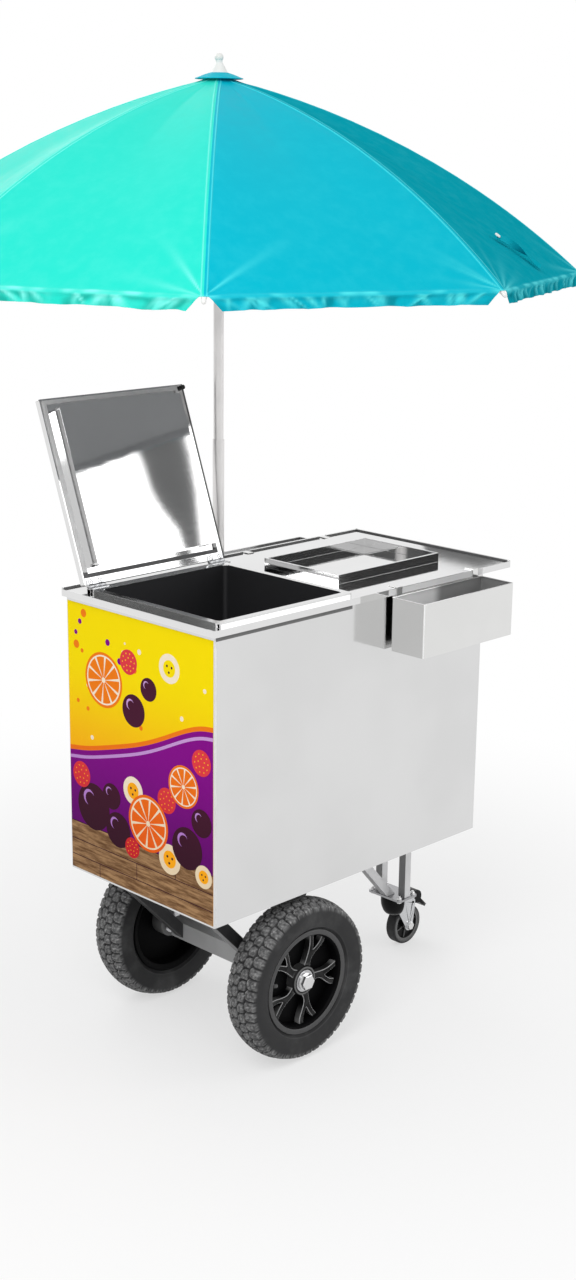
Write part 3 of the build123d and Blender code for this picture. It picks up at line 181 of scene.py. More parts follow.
def look(name, shine=0.5, **sockets):
    LOOKS[name] = bpy.data.materials.new(name)
    return Shader(LOOKS[name], "Principled BSDF", Specular_IOR_Level=shine, **sockets)


def rgb(*tones):
    """Linear colour of an 8-bit screen colour, or of one grey."""
    parts = [tone / 255 for tone in (tones if len(tones) == 3 else tones * 3)]
    return tuple(v / 12.92 if v <= 0.04045 else ((v + 0.055) / 1.055) ** 2.4 for v in parts) + (1.0,)


def deeper(colour, share):
    return tuple(share * c for c in colour[:3]) + (1.0,)


def steel(name, tint, rough, grain=(1, 40, 40), streak=0.02, smudge=0.03, inner=None, zones=(), shine=0.5):
    """Sheet steel with a rolled grain and faint handling marks. Inner gives the zones' colours and finish,
    painted light and shade in the bins: tints on both sides of a blend along X, the blend's span, metal share
    and roughness."""
    s = look(name, shine, Metallic=1.0)
    fine = s.noise(14.0, 5.0, grain, 0.65)
    cloud = s.noise(3.0)
    colour = s.mix(s.ramp(cloud, 0.35, 0.65), deeper(tint, 0.95), tint)
    level = s.math("ADD", s.ramp(fine, 0.3, 0.7, rough - streak, rough + streak),
                   s.ramp(cloud, 0.45, 0.75, 0.0, smudge))
    if zones:
        near_tint, far_tint, split, inner_metal, inner_rough = inner
        share = 0.0
        for spans in zones:
            share = s.math("MAXIMUM", share, s.zone(**spans))
        colour = s.mix(share, colour, s.mix(s.ramp(s.place("X"), *split), near_tint, far_tint))
        level = s.math("ADD", level, s.ramp(share, 0.0, 1.0, 0.0, inner_rough - rough))
        s.give(Metallic=s.ramp(share, 0.0, 1.0, 1.0, inner_metal))
    s.give(Base_Color=colour, Roughness=level)
    s.bump(fine, 0.03, 0.0004)


def paint(name, colour, rough, wear_and_highlight_colour, grain=180.0, edge=0.0, dusty=0.55, shine=0.5, metal=0.0, minus_x_shade=None):
    """Coated metal or moulded plastic: orange-peel grain, dust, pale edges (part rubbed wear, part painted
    highlight) and pale marks on raised blocks (part wear, part painted highlight). The colour given last is
    painted shade for the faces turned to -X."""
    s = look(name, shine, Metallic=metal)
    dust = s.noise(9.0, 5.0)
    base = s.mix(s.ramp(dust, 0.45, 0.8, 0.0, dusty), colour, wear_and_highlight_colour)
    # Painted shade: faces turned to -X take the darker colour.
    if minus_x_shade:
        facing = s.add("SeparateXYZ", Vector=s.add("NewGeometry").outputs["Normal"]).outputs["X"]
        base = s.mix(s.ramp(facing, -0.75, -0.45, 1.0, 0.0), base, minus_x_shade)
    # Pale convex edges: part rubbed wear, part painted highlight.
    if edge:
        sharp = s.add("NewGeometry").outputs["Pointiness"]
        base = s.mix(s.ramp(sharp, 0.52, 0.58, 0.0, edge), base, wear_and_highlight_colour)
    # Pale marks on points, such as tread blocks: part wear, part painted highlight.
    s.give(Base_Color=s.mix(s.marked("crease"), base, wear_and_highlight_colour),
           Roughness=s.ramp(dust, 0.3, 0.8, rough - 0.06, rough + 0.12))
    s.bump(s.noise(grain), 0.12, 0.0004)


def fabric(name, colour, wear_and_highlight_colour, rough=0.46, shine=0.04):
    """Coated umbrella cloth: close weave, slight crumple, painted highlight on folds, seams and the hem,
    painted shade between slack folds.
    """
    s = look(name, shine)
    crumple = s.noise(34.0, 5.0, rough=0.6)
    weave = s.noise(1500.0, 2.0)
    base = s.mix(s.ramp(crumple, 0.35, 0.75, 0.0, 0.07), colour, wear_and_highlight_colour)
    # Painted shade: a deeper colour between the strip's slack folds.
    base = s.mix(s.marked("shade"), base, deeper(colour, 0.5))
    # Painted highlight: the cloth turns paler where the points are marked.
    s.give(Base_Color=s.mix(s.marked("crease"), base, wear_and_highlight_colour),
           Roughness=s.ramp(crumple, 0.3, 0.7, rough - 0.05, rough + 0.07))
    s.bump(s.math("ADD", crumple, s.math("MULTIPLY", weave, 0.12)), 0.10, 0.0014)


def silicone(name, colour, pad_colour):
    """Pale soft profile, darker along one edge and at its foot, black at the pad that the lid lands on."""
    s = look(name, 0.4)
    bloom = s.noise(40.0, 4.0)
    base = s.mix(s.ramp(bloom, 0.35, 0.75, 0.0, 0.3), colour, rgb(238))
    base = s.mix(s.math("MAXIMUM", s.zone(X=GASKET_DARK_EDGE), s.zone(Z=GASKET_DARK_FOOT)), base, rgb(84, 84, 85))
    s.give(Base_Color=s.mix(s.near(BUMPER_SPOT, BUMPER_RADIUS), base, pad_colour),
           Roughness=s.ramp(bloom, 0.3, 0.7, 0.42, 0.56))
    s.bump(bloom, 0.1, 0.0004)


def film(name, low, high, low_z, high_z):
    """Printed vinyl whose ink runs from one colour to another up the panel."""
    s = look(name, 0.04)
    grain = s.noise(700.0, 2.0)
    s.give(Base_Color=s.mix(s.ramp(s.place("Z"), low_z, high_z), low, high),
           Roughness=s.ramp(grain, 0.3, 0.7, 0.36, 0.46))
    s.bump(grain, 0.05, 0.0002)


def planks(name, pale, dark):
    """Printed boards: streaked grain along the panel."""
    s = look(name, 0.04)
    grain = s.noise(16.0, 6.0, (1, 1, 9), 0.7)
    s.give(Base_Color=s.mix(s.ramp(grain, 0.35, 0.68), dark, pale),
           Roughness=s.ramp(grain, 0.3, 0.7, 0.36, 0.46))


# Parts of the body coloured apart from their steel, as spans at rest; in the bins' insides the colours are
# painted light and shade.
BIN_INSIDES = tuple({"X": (0.0406, 0.3304), "Y": y, "Z": (0.8376, 0.9515)}
                    for y in ((-0.5690, -0.4812), (-0.0178, 0.0700)))
WELL_INSIDE = ({"X": (-0.4214, -0.0786), "Y": (-0.4519, -0.1061), "Z": (0.5, 0.9745)},)
DECK_EDGES = tuple({"X": (0.030, 0.336), "Y": y, "Z": (0.9535, 0.9672)}
                   for y in ((-0.482, -0.4792), (-0.0198, -0.0170)))
LID_EDGE = ({"X": (-0.0540, -0.0480)},)
BIN_SPLIT = (0.165, 0.200)
LID_SPLIT = (-0.40, -0.10)
BUMPER_SPOT = (-0.0575, 0.0589, 1.3367)
BUMPER_RADIUS = 0.0115
GASKET_DARK_EDGE = (-0.0590, -0.0500)
GASKET_DARK_FOOT = (0.980, 1.006)
EVEN_GRAIN = (12, 12, 12)

steel("casing_steel", rgb(219), 0.10, streak=0.01, smudge=0.01)
steel("deck_steel", rgb(226), 0.05, streak=0.01, smudge=0.01, zones=DECK_EDGES,
      inner=(rgb(232), rgb(226), BIN_SPLIT, 0.0, 0.35))
steel("lid_steel", rgb(226), 0.038, streak=0.008, smudge=0.01, zones=LID_EDGE,
      inner=(rgb(96, 96, 97), rgb(88, 88, 89), LID_SPLIT, 0.0, 0.35))
# The bins' insides take painted light and shade: pale at -X, shaded towards +X.
steel("bin_steel", rgb(226, 226, 225), 0.13, zones=BIN_INSIDES,
      inner=(rgb(252), rgb(156), BIN_SPLIT, 0.25, 0.32))
steel("tub_steel", rgb(224), 0.12, zones=WELL_INSIDE, shine=0.12,
      inner=(rgb(50, 50, 52), rgb(46, 46, 48), LID_SPLIT, 0.0, 0.45))
steel("zinc", rgb(205, 206, 208), 0.24, EVEN_GRAIN)
steel("bright_bolt", rgb(222), 0.16, EVEN_GRAIN)
steel("bearing_steel", rgb(190, 190, 192), 0.22, EVEN_GRAIN)
paint("dark_frame", rgb(34, 34, 36), 0.40, rgb(104), edge=0.6)
paint("grey_frame", rgb(186, 187, 188), 0.36, rgb(150), edge=0.4)
# The legs' faces turned to -X take painted shade.
paint("leg_paint", rgb(232, 232, 233), 0.36, rgb(204), dusty=0.4, minus_x_shade=rgb(128, 128, 129))
steel("dull_zinc", rgb(168, 168, 170), 0.34, EVEN_GRAIN)
paint("foam", rgb(226, 214, 170), 0.85, rgb(205, 190, 140), 60.0)
film("print", rgb(255, 172, 22), rgb(255, 228, 0), 0.56, 0.86)
film("ink_purple", rgb(92, 4, 104), rgb(134, 8, 138), 0.42, 0.72)
film("ink_orange", rgb(236, 92, 24), rgb(246, 128, 24), 0.40, 0.80)
film("ink_lilac", rgb(170, 112, 196), rgb(206, 160, 220), 0.40, 0.80)
film("ink_maroon", rgb(52, 16, 34), rgb(72, 24, 48), 0.40, 0.70)
film("ink_cream", rgb(236, 214, 178), rgb(250, 236, 212), 0.40, 0.70)
film("ink_red", rgb(200, 34, 44), rgb(228, 62, 70), 0.40, 0.70)
planks("ink_boards", rgb(176, 138, 98), rgb(104, 72, 46))
paint("rubber", rgb(40, 40, 41), 0.66, rgb(178), 420.0, 0.3, dusty=0.16, shine=0.3)
silicone("gasket", rgb(206), rgb(20))
paint("black_plastic", rgb(9, 9, 10), 0.40, rgb(150), 300.0, 0.7, dusty=0.03, shine=0.12)
paint("rim_deep", rgb(7, 7, 8), 0.5, rgb(26), 300.0, dusty=0.1, shine=0.05)
# Painted highlight for the spokes' upper edges.
paint("spoke_painted_highlight", rgb(168, 168, 169), 0.42, rgb(214), 300.0, dusty=0.8, shine=0.3)
paint("rim_lip", rgb(58, 58, 59), 0.45, rgb(130), 300.0, 0.5, dusty=0.1, shine=0.25)
paint("white_plastic", rgb(238, 238, 236), 0.35, rgb(214, 213, 208), 260.0)
paint("pole_paint", rgb(236, 234, 233), 0.34, rgb(222, 221, 221), 140.0, metal=0.7)
# Cloth looks: a painted sunlit copy of the blue, the blue, a painted shaded copy of the blue, and grey for
# the underside.
fabric("cloth_blue_painted_sunlit", rgb(40, 226, 206), rgb(140, 255, 244))
fabric("cloth_blue", rgb(2, 184, 206), rgb(92, 240, 244))
fabric("cloth_blue_painted_shade", rgb(8, 160, 178), rgb(96, 222, 230), shine=0.0)
fabric("cloth_under", rgb(178, 180, 182), rgb(196, 198, 200))

RIBS = 8
NODE_LOOKS = {
    "casing_steel": ("casing", "base_pan"),
    "deck_steel": ("worktop", "tray_collar", "hinge_rail"),
    "lid_steel": ("lid_cover", "lid_plug"),
    "bin_steel": ("near_bin", "far_bin"),
    "tub_steel": ("tub",),
    "zinc": ("axle_rod", "caster_fork", "hinge_frame_leaves", "hinge_lid_leaves"),
    "dull_zinc": ("caster_plate",),
    "bright_bolt": ("axle_nuts", "caster_axle", "hinge_pins"),
    "bearing_steel": ("near_bearings", "far_bearings"),
    "dark_frame": ("axle_arms", "pole_holder"),
    "grey_frame": ("axle_beam",),
    "leg_paint": ("caster_legs", "caster_brace"),
    "foam": ("insulation", "lid_core"),
    "print": ("print_film",),
    "rubber": ("near_tyre", "far_tyre", "caster_tread"),
    "gasket": ("lid_gasket",),
    "black_plastic": ("near_rim", "far_rim", "caster_wheel", "caster_hood", "brake_pedal", "holder_knob"),
    "white_plastic": ("crown", "runner", "finial"),
    "pole_paint": ("lower_pole", "upper_pole") + tuple(
        f"{kind}_{k}" for kind in ("rib", "strut") for k in range(1, RIBS + 1)),
    "cloth_blue": ("canopy",),
}
for finish, names in NODE_LOOKS.items():
    for name in names:
        nodes[name].data.materials.clear()
        nodes[name].data.materials.append(LOOKS[finish])


class Shape:
    """Points and faces of one piece, gathered form by form."""

    def __init__(self):
        self.points, self.faces, self.looks = [], [], []

    def add(self, points, faces, look=0):
        start = len(self.points)
        self.points.extend(points)
        self.faces.extend(tuple(start + i for i in face) for face in faces)
        self.looks.extend([look] * len(faces))

    def grid(self, rows, look=0, loop=False, ring=False, caps=False):
        """Rows of points; loop closes each row on itself, ring joins the last row to the first."""
        wide, high = len(rows[0]), len(rows)
        faces = []
        for i in range(high if ring else high - 1):
            above = (i + 1) % high * wide
            for j in range(wide if loop else wide - 1):
                after = (j + 1) % wide
                faces.append((i * wide + j, i * wide + after, above + after, above + j))
        if caps:
            faces.append(tuple(range(wide)))
            faces.append(tuple(range((high - 1) * wide, high * wide)))
        self.add([p for row in rows for p in row], faces, look)
        return self

    def lathe(self, profile, centre, axis, steps=40, look=0, ring=False):
        """A turned form; profile is (along the axis, radius) from end to end."""
        axis = Vector(axis).normalized()
        side = axis.orthogonal().normalized()
        other = axis.cross(side)
        turns = [2 * pi * i / steps for i in range(steps)]
        rims = [side * cos(a) + other * sin(a) for a in turns]
        rows = [[Vector(centre) + axis * along + rim * radius for rim in rims] for along, radius in profile]
        return self.grid(rows, look, loop=True, ring=ring, caps=not ring)

    def sweep(self, path, section, start, look=0, turns=None):
        """A closed section of (across, up) pairs swept along a path; start is across at its first point."""
        across = Vector(start)
        rows = []
        for i, point in enumerate(path):
            ahead = (path[min(i + 1, len(path) - 1)] - path[max(i - 1, 0)]).normalized()
            across = (across - ahead * across.dot(ahead)).normalized()
            up = ahead.cross(across)
            turn = turns[i] if turns else 0.0
            c, s = cos(turn), sin(turn)
            rows.append([point + across * (a * c - b * s) + up * (a * s + b * c) for a, b in section])
        return self.grid(rows, look, loop=True, caps=True)

    def plate(self, outline, place, low, high, soft, look=0, edge_look=None):
        """An outline (counter-clockwise) raised from low to high with rounded edges, the upper one in its
        own look."""
        pairs = [Vector(p) for p in outline]

        def drawn_in(amount):
            shrunk = []
            for i, p in enumerate(pairs):
                before = (p - pairs[i - 1]).normalized()
                after = (pairs[(i + 1) % len(pairs)] - p).normalized()
                left, right = Vector((-before.y, before.x)), Vector((-after.y, after.x))
                middle = left + right
                shrunk.append(p + middle * (amount / max(middle.dot(left), 0.4)))
            return shrunk
        levels = ((low, 1.0), (low + 0.3 * soft, 0.3), (low + soft, 0.0),
                  (high - soft, 0.0), (high - 0.3 * soft, 0.3), (high, 1.0))
        rows = [[place @ Vector((p.x, p.y, level)) for p in drawn_in(soft * share)]
                for level, share in levels]
        start = len(self.looks)
        self.grid(rows, look, loop=True, caps=True)
        if edge_look is not None:
            self.looks[start + 3 * len(pairs):start + 5 * len(pairs)] = [edge_look] * (2 * len(pairs))

    def shell(self, points, faces, looks, thickness, under):
        """A sheet of that thickness below the given faces, closed round its edge."""
        lifts = [Vector() for p in points]
        edges = {}
        for face, look in zip(faces, looks):
            normal = (points[face[2]] - points[face[0]]).cross(points[face[3]] - points[face[1]])
            for i, corner in enumerate(face):
                lifts[corner] += normal
                edge = (corner, face[(i + 1) % 4])
                if edge[::-1] in edges:
                    del edges[edge[::-1]]
                else:
                    edges[edge] = look
        count = len(points)
        below = [p - lift.normalized() * thickness for p, lift in zip(points, lifts)]
        self.add(points + below, list(faces) + [tuple(count + i for i in reversed(f)) for f in faces])
        self.looks = list(looks) + [under] * len(faces)
        for (a, b), look in edges.items():
            self.faces.append((b, a, count + a, count + b))
            self.looks.append(look)

    def piece(self, name, body, slot, *looks, sharp=38.0):
        mesh = bpy.data.meshes.new(name)
        mesh.from_pydata([tuple(p) for p in self.points], [], self.faces)
        mesh.polygons.foreach_set("material_index", self.looks)
        for look in looks or (slot,):
            mesh.materials.append(LOOKS[look])
        form = bmesh.new()
        form.from_mesh(mesh)
        bmesh.ops.recalc_face_normals(form, faces=form.faces)
        form.to_mesh(mesh)
        form.free()
        mesh.shade_smooth()
        mesh.set_sharp_from_angle(angle=radians(sharp))
        thing = put(name, mesh)
        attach(thing, body)
        return thing


def smooth(value, low, high):
    share = min(max((value - low) / (high - low), 0.0), 1.0)
    return share * share * (3 - 2 * share)


def bell(gap, width):
    return exp(-(gap / width) ** 2)


def chance(x, y, z):
    """A smooth random field, from about -1 to 1."""
    return noise.noise(Vector((x, y, z)))


def metres(pairs):
    return [(a / 1000, b / 1000) for a, b in pairs]


def mark(thing, name, values):
    """Give each point of a piece a value under that name."""
    thing.data.attributes.new(name, "FLOAT", "POINT").data.foreach_set("value", values)


# Canopy: eight cloth pieces, each sewn over one rib and meeting the next at mid-gore.
HALF_GORE = pi / RIBS
ARC_CENTRE = (-0.3604, 0.3149)
CLOTH_ARC = 1.7055
HEM_SLOPE = radians(41.5)
APEX = (0.0130, 1.9832, radians(20), 0.86)
SEAM_STRIP = 0.009
SEAM_BEAD = 0.0055
CLOTH_THICKNESS = 0.0011
VALANCE = 0.026
VALANCE_TAPER = 0.025
HEM_STEPS = (0, 1.4, 2.8, 4.4, 6.5, 9, 12, 15.5, 19.5, 23.5, 27.5, 31.5, 36, 41, 46, 51, 57, 63, 69.5, 76.5,
             84, 92, 101, 111, 123, 138, 156, 178, 206, 240, 282, 332, 388, 450, 515, 580, 640, 695, 745, 790,
             826)
RIDGE_LENGTH = HEM_STEPS[-1] / 1000
VALANCE_STEPS = (26, 24, 22, 20, 18, 16, 14, 12, 10.2, 8.6, 7.2, 6, 4.9, 3.9, 2.9, 1.9, 1)
STRIP_STEPS = (0, 0.22, 0.42, 0.52, 0.61, 0.70, 0.80, 1.0)
GORE_STEPS = tuple(0.012 * i for i in range(1, 13)) + tuple(0.144 + 0.0214 * i for i in range(1, 41))
# Gores in blue, with painted sunlit copies on gores 1 to 4 and painted shaded copies on gores 6 and 7.
GORE_LOOKS = ("cloth_blue",) + 4 * ("cloth_blue_painted_sunlit",) + ("cloth_blue",) + 2 * ("cloth_blue_painted_shade",)
TUCK_WAYS = (12, 25, 40, 58)
SLACK_FOLDS = 15
SLACK_SEED = 470
RIB_SEED = 31
TIP_DEPTH = 0.0056
TIP_PROFILE = ((-0.016, 0.0036), (-0.0155, 0.0044), (-0.004, 0.0046), (-0.003, 0.0052), (-0.001, 0.0052),
               (0.0, 0.0046), (0.006, 0.0045), (0.0095, 0.0036), (0.0115, 0.0018), (0.0120, 0.0004))
TOP_PROFILE = ((1.9905, 0.0118), (1.9915, 0.0150), (1.9892, 0.0230), (1.9860, 0.0330), (1.9815, 0.0440),
               (1.9795, 0.0500), (1.9780, 0.0505), (1.9776, 0.0490), (1.9850, 0.0300), (1.9885, 0.0118))


def tucks(seed):
    """Pulled folds that fan out from a rib tip: direction, spread, height and reach of each."""
    draw = random.Random(seed)
    return [(radians(way + draw.uniform(-5, 5)), radians(draw.uniform(4.2, 6.4)),
             draw.uniform(0.0012, 0.0040) * draw.choice((1, 1, -0.7)), draw.uniform(0.030, 0.075))
            for way in TUCK_WAYS]


def pulls(w, up, folds):
    """Height of the pulled folds at a spot, and how sharply they crease the cloth there, which sets their
    painted highlight.
    """
    far = hypot(w, up)
    bearing = atan2(up, w)
    near = smooth(far, 0.004, 0.022)
    rise = [height * bell(bearing - way, spread) * exp(-far / reach) * near
            for way, spread, height, reach in folds]
    return sum(rise), min(sum(max(r, 0.0) for r in rise) / 0.0020, 1.0)


def cloth_lift(w, up, half, gore, folds):
    """How far the cloth stands off its flat gore, at w from the ridge and up from the hem."""
    share = w / half
    sag = -0.011 * sin(pi * min(up / RIDGE_LENGTH, 1.0)) * (1 - cos(pi * share)) / 2
    bead = 0.0014 * bell(w - SEAM_BEAD, 0.0011) * smooth(up, 0.0, 0.012)
    pull = pulls(w, up, folds)[0]
    brow = 0.0022 * exp(-up / 0.007) * smooth(w, 0.008, 0.03)
    ripple = 0.0011 * chance(w * 34, gore * 3.7, up * 14) * exp(-up / 0.035)
    slow = 0.0022 * chance(w * 7.5, gore * 5.1, up * 4.2)
    fine = 0.0006 * chance(w * 26, gore * 2.3 + 9, up * 11)
    free = smooth(w, 0.008, 0.05) * (1 - smooth(share, 0.82, 1.0))
    return sag + bead + brow + pull * (1 - smooth(share, 0.7, 1.0)) + (ripple + slow + fine) * free


def cloth_painted_highlight(w, up, half, gore, folds):
    """Painted highlight on the cloth: along the piping, on pulled folds and at the turn of the hem."""
    piping = 0.75 * bell(w - SEAM_BEAD, 0.0012)
    pulled = 0.85 * pulls(w, up, folds)[1] * (1 - smooth(w / half, 0.6, 0.95))
    return min(piping + pulled + hem_painted_highlight(w, gore) * bell(up, 0.0032), 1.0)


def hem_painted_highlight(w, gore):
    """How much painted highlight the turn of the hem takes, in patches along it."""
    return 0.12 + 0.75 * smooth(chance(w * 26, gore * 7.7, 3.0), -0.25, 0.45)


def slack_folds(seed):
    """Loose folds of the hanging strip: place along the hem, lean, half width and strength of each."""
    draw = random.Random(seed)
    return [(draw.uniform(0.015, 0.30), draw.uniform(-1.5, 1.5), draw.uniform(0.0035, 0.0095),
             draw.uniform(0.25, 1.0)) for k in range(SLACK_FOLDS)]


def slack(w, depth, loose):
    """How far the hanging strip is folded outwards at a spot, from 0 to 1."""
    return min(sum(strength * bell(w - place - lean * depth, half)
                   for place, lean, half, strength in loose), 1.0)


def arc_spot(slope, arc):
    """(radius, height) where an arc about the ribs' centre has that slope."""
    return ARC_CENTRE[0] + arc * sin(slope), ARC_CENTRE[1] + arc * cos(slope)


def cloth_rows():
    """(radius, height, slope, distance from the hem) up the ridge, from hem to apex."""
    slopes = [HEM_SLOPE - step / 1000 / CLOTH_ARC for step in HEM_STEPS]
    rows = [(*arc_spot(slope, CLOTH_ARC), slope, step / 1000) for slope, step in zip(slopes, HEM_STEPS)]
    return rows + [APEX]


def cloth_offsets(radius):
    """Distances from the ridge of the cloth's columns at that ridge radius, and half a side."""
    half = radius * sin(HALF_GORE)
    strip = min(SEAM_STRIP, 0.4 * half)
    return [strip * s for s in STRIP_STEPS] + [strip + (half - strip) * s for s in GORE_STEPS], half


def gore_of(rib, side):
    """Number of the gore on that side of a rib."""
    return (rib - 1 + (side - 1) // 2) % RIBS


def gore_way(rib, side):
    """Directions at a rib: ridge, along the hem, and out over the gore on that side."""
    here = 2 * HALF_GORE * (rib - 1)
    middle = here + side * HALF_GORE
    along = Vector((-sin(middle), cos(middle), 0)) * side
    return level_way(here), along, level_way(middle)


def cloth_point(rib, side, row, w, half, folds, gore):
    radius, height, slope, up = row
    ridge, along, out = gore_way(rib, side)
    steep = atan(tan(slope) / cos(HALF_GORE))
    normal = out * sin(steep) + UP * cos(steep)
    spot = ridge * radius + along * w + UP * height
    return spot + normal * cloth_lift(w, up, half, gore, folds)


def valance_point(rib, side, w, half, depth, gore, hem, loose):
    """A point of the strip that hangs below the hem, at w along it and depth below."""
    _, along, out = gore_way(rib, side)
    share = depth / VALANCE
    taper = VALANCE_TAPER * depth / VALANCE
    shifted = SEAM_STRIP + taper + (w - SEAM_STRIP) * (half - SEAM_STRIP - taper) / (half - SEAM_STRIP)
    free = smooth(w, 0.01, 0.03) * (1 - smooth(w / half, 0.86, 1.0))
    sway = (0.0050 * chance(w * 15, gore * 4.3, 2.0 + depth * 12)
            + 0.0044 * slack(w, depth, loose)) * share ** 0.6 * free
    roll = 0.0030 * bell(depth - 0.0050, 0.0045) * (0.5 + 0.5 * free)
    bottom = 0.0040 * chance(w * 15, gore * 8.8, 0.0) * share * free
    return hem + along * (shifted - w) + UP * (bottom - depth) + out * (roll + 0.002 * share + sway)


def valance_painted_highlight(w, half, depth, gore, loose):
    """Painted highlight on the hanging strip: at the turn of the hem and on its slack folds."""
    free = smooth(w, 0.01, 0.03) * (1 - smooth(w / half, 0.9, 1.0))
    roll = hem_painted_highlight(w, gore) * bell(depth, 0.0048)
    fade = smooth(depth, 0.002, 0.008) * (1 - 0.6 * smooth(depth, 0.012, 0.026))
    return min(roll + 0.85 * slack(w, depth, loose) * free * fade, 1.0)


def valance_painted_shade(w, depth, gore, loose):
    """Painted shade on the hanging strip, in patches between its slack folds."""
    patch = smooth(chance(w * 38, gore * 6.1, depth * 55), -0.25, 0.4)
    return 0.75 * patch * (1 - slack(w, depth, loose)) * smooth(depth, 0.004, 0.013)


def fold(thing):
    """Give a piece a mesh of its own."""
    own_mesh(thing)


def canopy_piece(rib):
    rows = cloth_rows()
    spots, faces, looks, index = [], [], [], {}
    for side in SIDES:
        gore = gore_of(rib, side)
        folds = tucks(RIB_SEED * rib + side)
        loose = slack_folds(SLACK_SEED + RIB_SEED * rib + side)
        for i, row in enumerate(rows):
            offsets, half = cloth_offsets(row[0])
            for j, w in enumerate(offsets):
                if (i, side * j) not in index:
                    index[i, side * j] = len(spots)
                    spots.append((cloth_point(rib, side, row, w, half, folds, gore),
                                  cloth_painted_highlight(w, row[3], half, gore, folds), 0.0))
        offsets, half = cloth_offsets(rows[0][0])
        for i, step in enumerate(VALANCE_STEPS):
            depth = step / 1000
            for j in range(len(STRIP_STEPS) - 1, len(offsets)):
                w = offsets[j]
                hem = spots[index[0, side * j]][0]
                index[i - len(VALANCE_STEPS), side * j] = len(spots)
                spots.append((valance_point(rib, side, w, half, depth, gore, hem, loose),
                              valance_painted_highlight(w, half, depth, gore, loose),
                              valance_painted_shade(w, depth, gore, loose)))
        for i in range(-len(VALANCE_STEPS), len(rows) - 1):
            for j in range(len(offsets) - 1):
                keys = ((i, side * j), (i, side * (j + 1)), (i + 1, side * (j + 1)), (i + 1, side * j))
                if all(key in index for key in keys):
                    face = tuple(index[key] for key in keys)
                    faces.append(face if side > 0 else face[::-1])
                    looks.append(SIDES.index(side))
    points, painted_highlights, painted_shades = (list(part) for part in zip(*spots))
    shape = Shape()
    shape.shell(points, faces, looks, CLOTH_THICKNESS, len(SIDES))
    colours = [GORE_LOOKS[gore_of(rib, side)] for side in SIDES]
    cloth = shape.piece(f"canopy_cloth_{rib}", f"rib_body_{rib}", "canopy_cloth", *colours, "cloth_under",
                        sharp=60)
    # Painted highlight and painted shade, point by point.
    for name, shares in (("crease", painted_highlights), ("shade", painted_shades)):
        mark(cloth, name, shares + [0.0] * len(points))
    fold(cloth)
    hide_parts("canopy")


def tip_cap(rib):
    """White cap on the rib's end."""
    ridge = gore_way(rib, 1)[0]
    radius, height = arc_spot(HEM_SLOPE, CLOTH_ARC - TIP_DEPTH)
    ahead = ridge * cos(HEM_SLOPE) - UP * sin(HEM_SLOPE)
    cap = Shape().lathe(TIP_PROFILE, ridge * radius + UP * height, ahead, 20)
    cap.piece(f"rib_tip_cap_{rib}", f"rib_body_{rib}", "white_plastic")


def top_cap():
    cap = Shape().lathe(TOP_PROFILE, (0, 0, 0), UP, 56)
    cap.piece("canopy_top_cap", "pole_upper", "canopy_cloth", "cloth_blue")


# Tie strap, sewn to one gore by a button: a flat webbing that lies twisted on the cloth.
STRAP_RIB = 7
STRAP_ROUTE = ((0.203, -0.584, 1.6748), (0.213, -0.589, 1.6700), (0.228, -0.596, 1.6630),
               (0.243, -0.600, 1.6545), (0.258, -0.606, 1.6440), (0.270, -0.612, 1.6340),
               (0.281, -0.620, 1.6235), (0.292, -0.627, 1.6140))
STRAP_TURNS = (0.0, 0.05, 0.5, 1.2, 1.9, 2.6, 3.05, 3.14)
STRAP_HALF, STRAP_THICK = 0.0065, 0.0007
STRAP_START = (0.53, 0.40, 0.75)
STRAP_SLOPE, STRAP_LIFT = radians(38), 0.004
STRAP_STEPS = 5
BUTTON_PROFILE = ((0.0, 0.0062), (0.0016, 0.0066), (0.0030, 0.0052), (0.0026, 0.0036), (0.0024, 0.0005))


def tie_strap():
    body = f"rib_body_{STRAP_RIB}"
    section = [(-STRAP_HALF, -STRAP_THICK), (STRAP_HALF, -STRAP_THICK), (STRAP_HALF, STRAP_THICK),
               (-STRAP_HALF, STRAP_THICK)]
    ends = [Vector(p) for p in STRAP_ROUTE]
    path, turns = [], []
    for i in range(len(ends) - 1):
        for j in range(STRAP_STEPS):
            path.append(ends[i].lerp(ends[i + 1], j / STRAP_STEPS))
            turns.append(STRAP_TURNS[i] + (STRAP_TURNS[i + 1] - STRAP_TURNS[i]) * j / STRAP_STEPS)
    path.append(ends[-1])
    turns.append(STRAP_TURNS[-1])
    lift = (gore_way(STRAP_RIB, 1)[2] * sin(STRAP_SLOPE) + UP * cos(STRAP_SLOPE)) * STRAP_LIFT
    webbing = Shape().sweep([p + lift for p in path], section, STRAP_START, turns=turns)
    # The strap lies on a shaded gore and takes the painted shaded copy of the cloth.
    strap = webbing.piece("tie_strap", body, "canopy_cloth", "cloth_blue_painted_shade")
    knob = Shape().lathe(BUTTON_PROFILE, ends[0] + lift * 1.2, lift, 24)
    button = knob.piece("tie_strap_button", body, "white_plastic")
    fold(strap)
    fold(button)
    reach = sum((b - a).length for a, b in zip(ends, ends[1:]))


# Wheels: tyre with a block tread, moulded rim with split spokes, valve. Tread, spokes and profiles are in mm.
AXLE_X, AXLE_Z = -0.205, 0.1725
WHEEL_Y = {"near": -0.459, "far": -0.040}
TYRE_RADIUS = 172.5
TREAD_HALF, TREAD_FALL, TREAD_STEP = 36.0, 9.0, 1.5
LUGS = 44
LUG_STEPS = 12
LUG_ROWS = (-27.5, -9.2, 9.2, 27.5)
LUG_PITCH, LUG_LONG, LUG_WIDE, LUG_DEPTH = 24.6, 10.6, 8.6, 4.6
LUG_SQUARE = 3.2
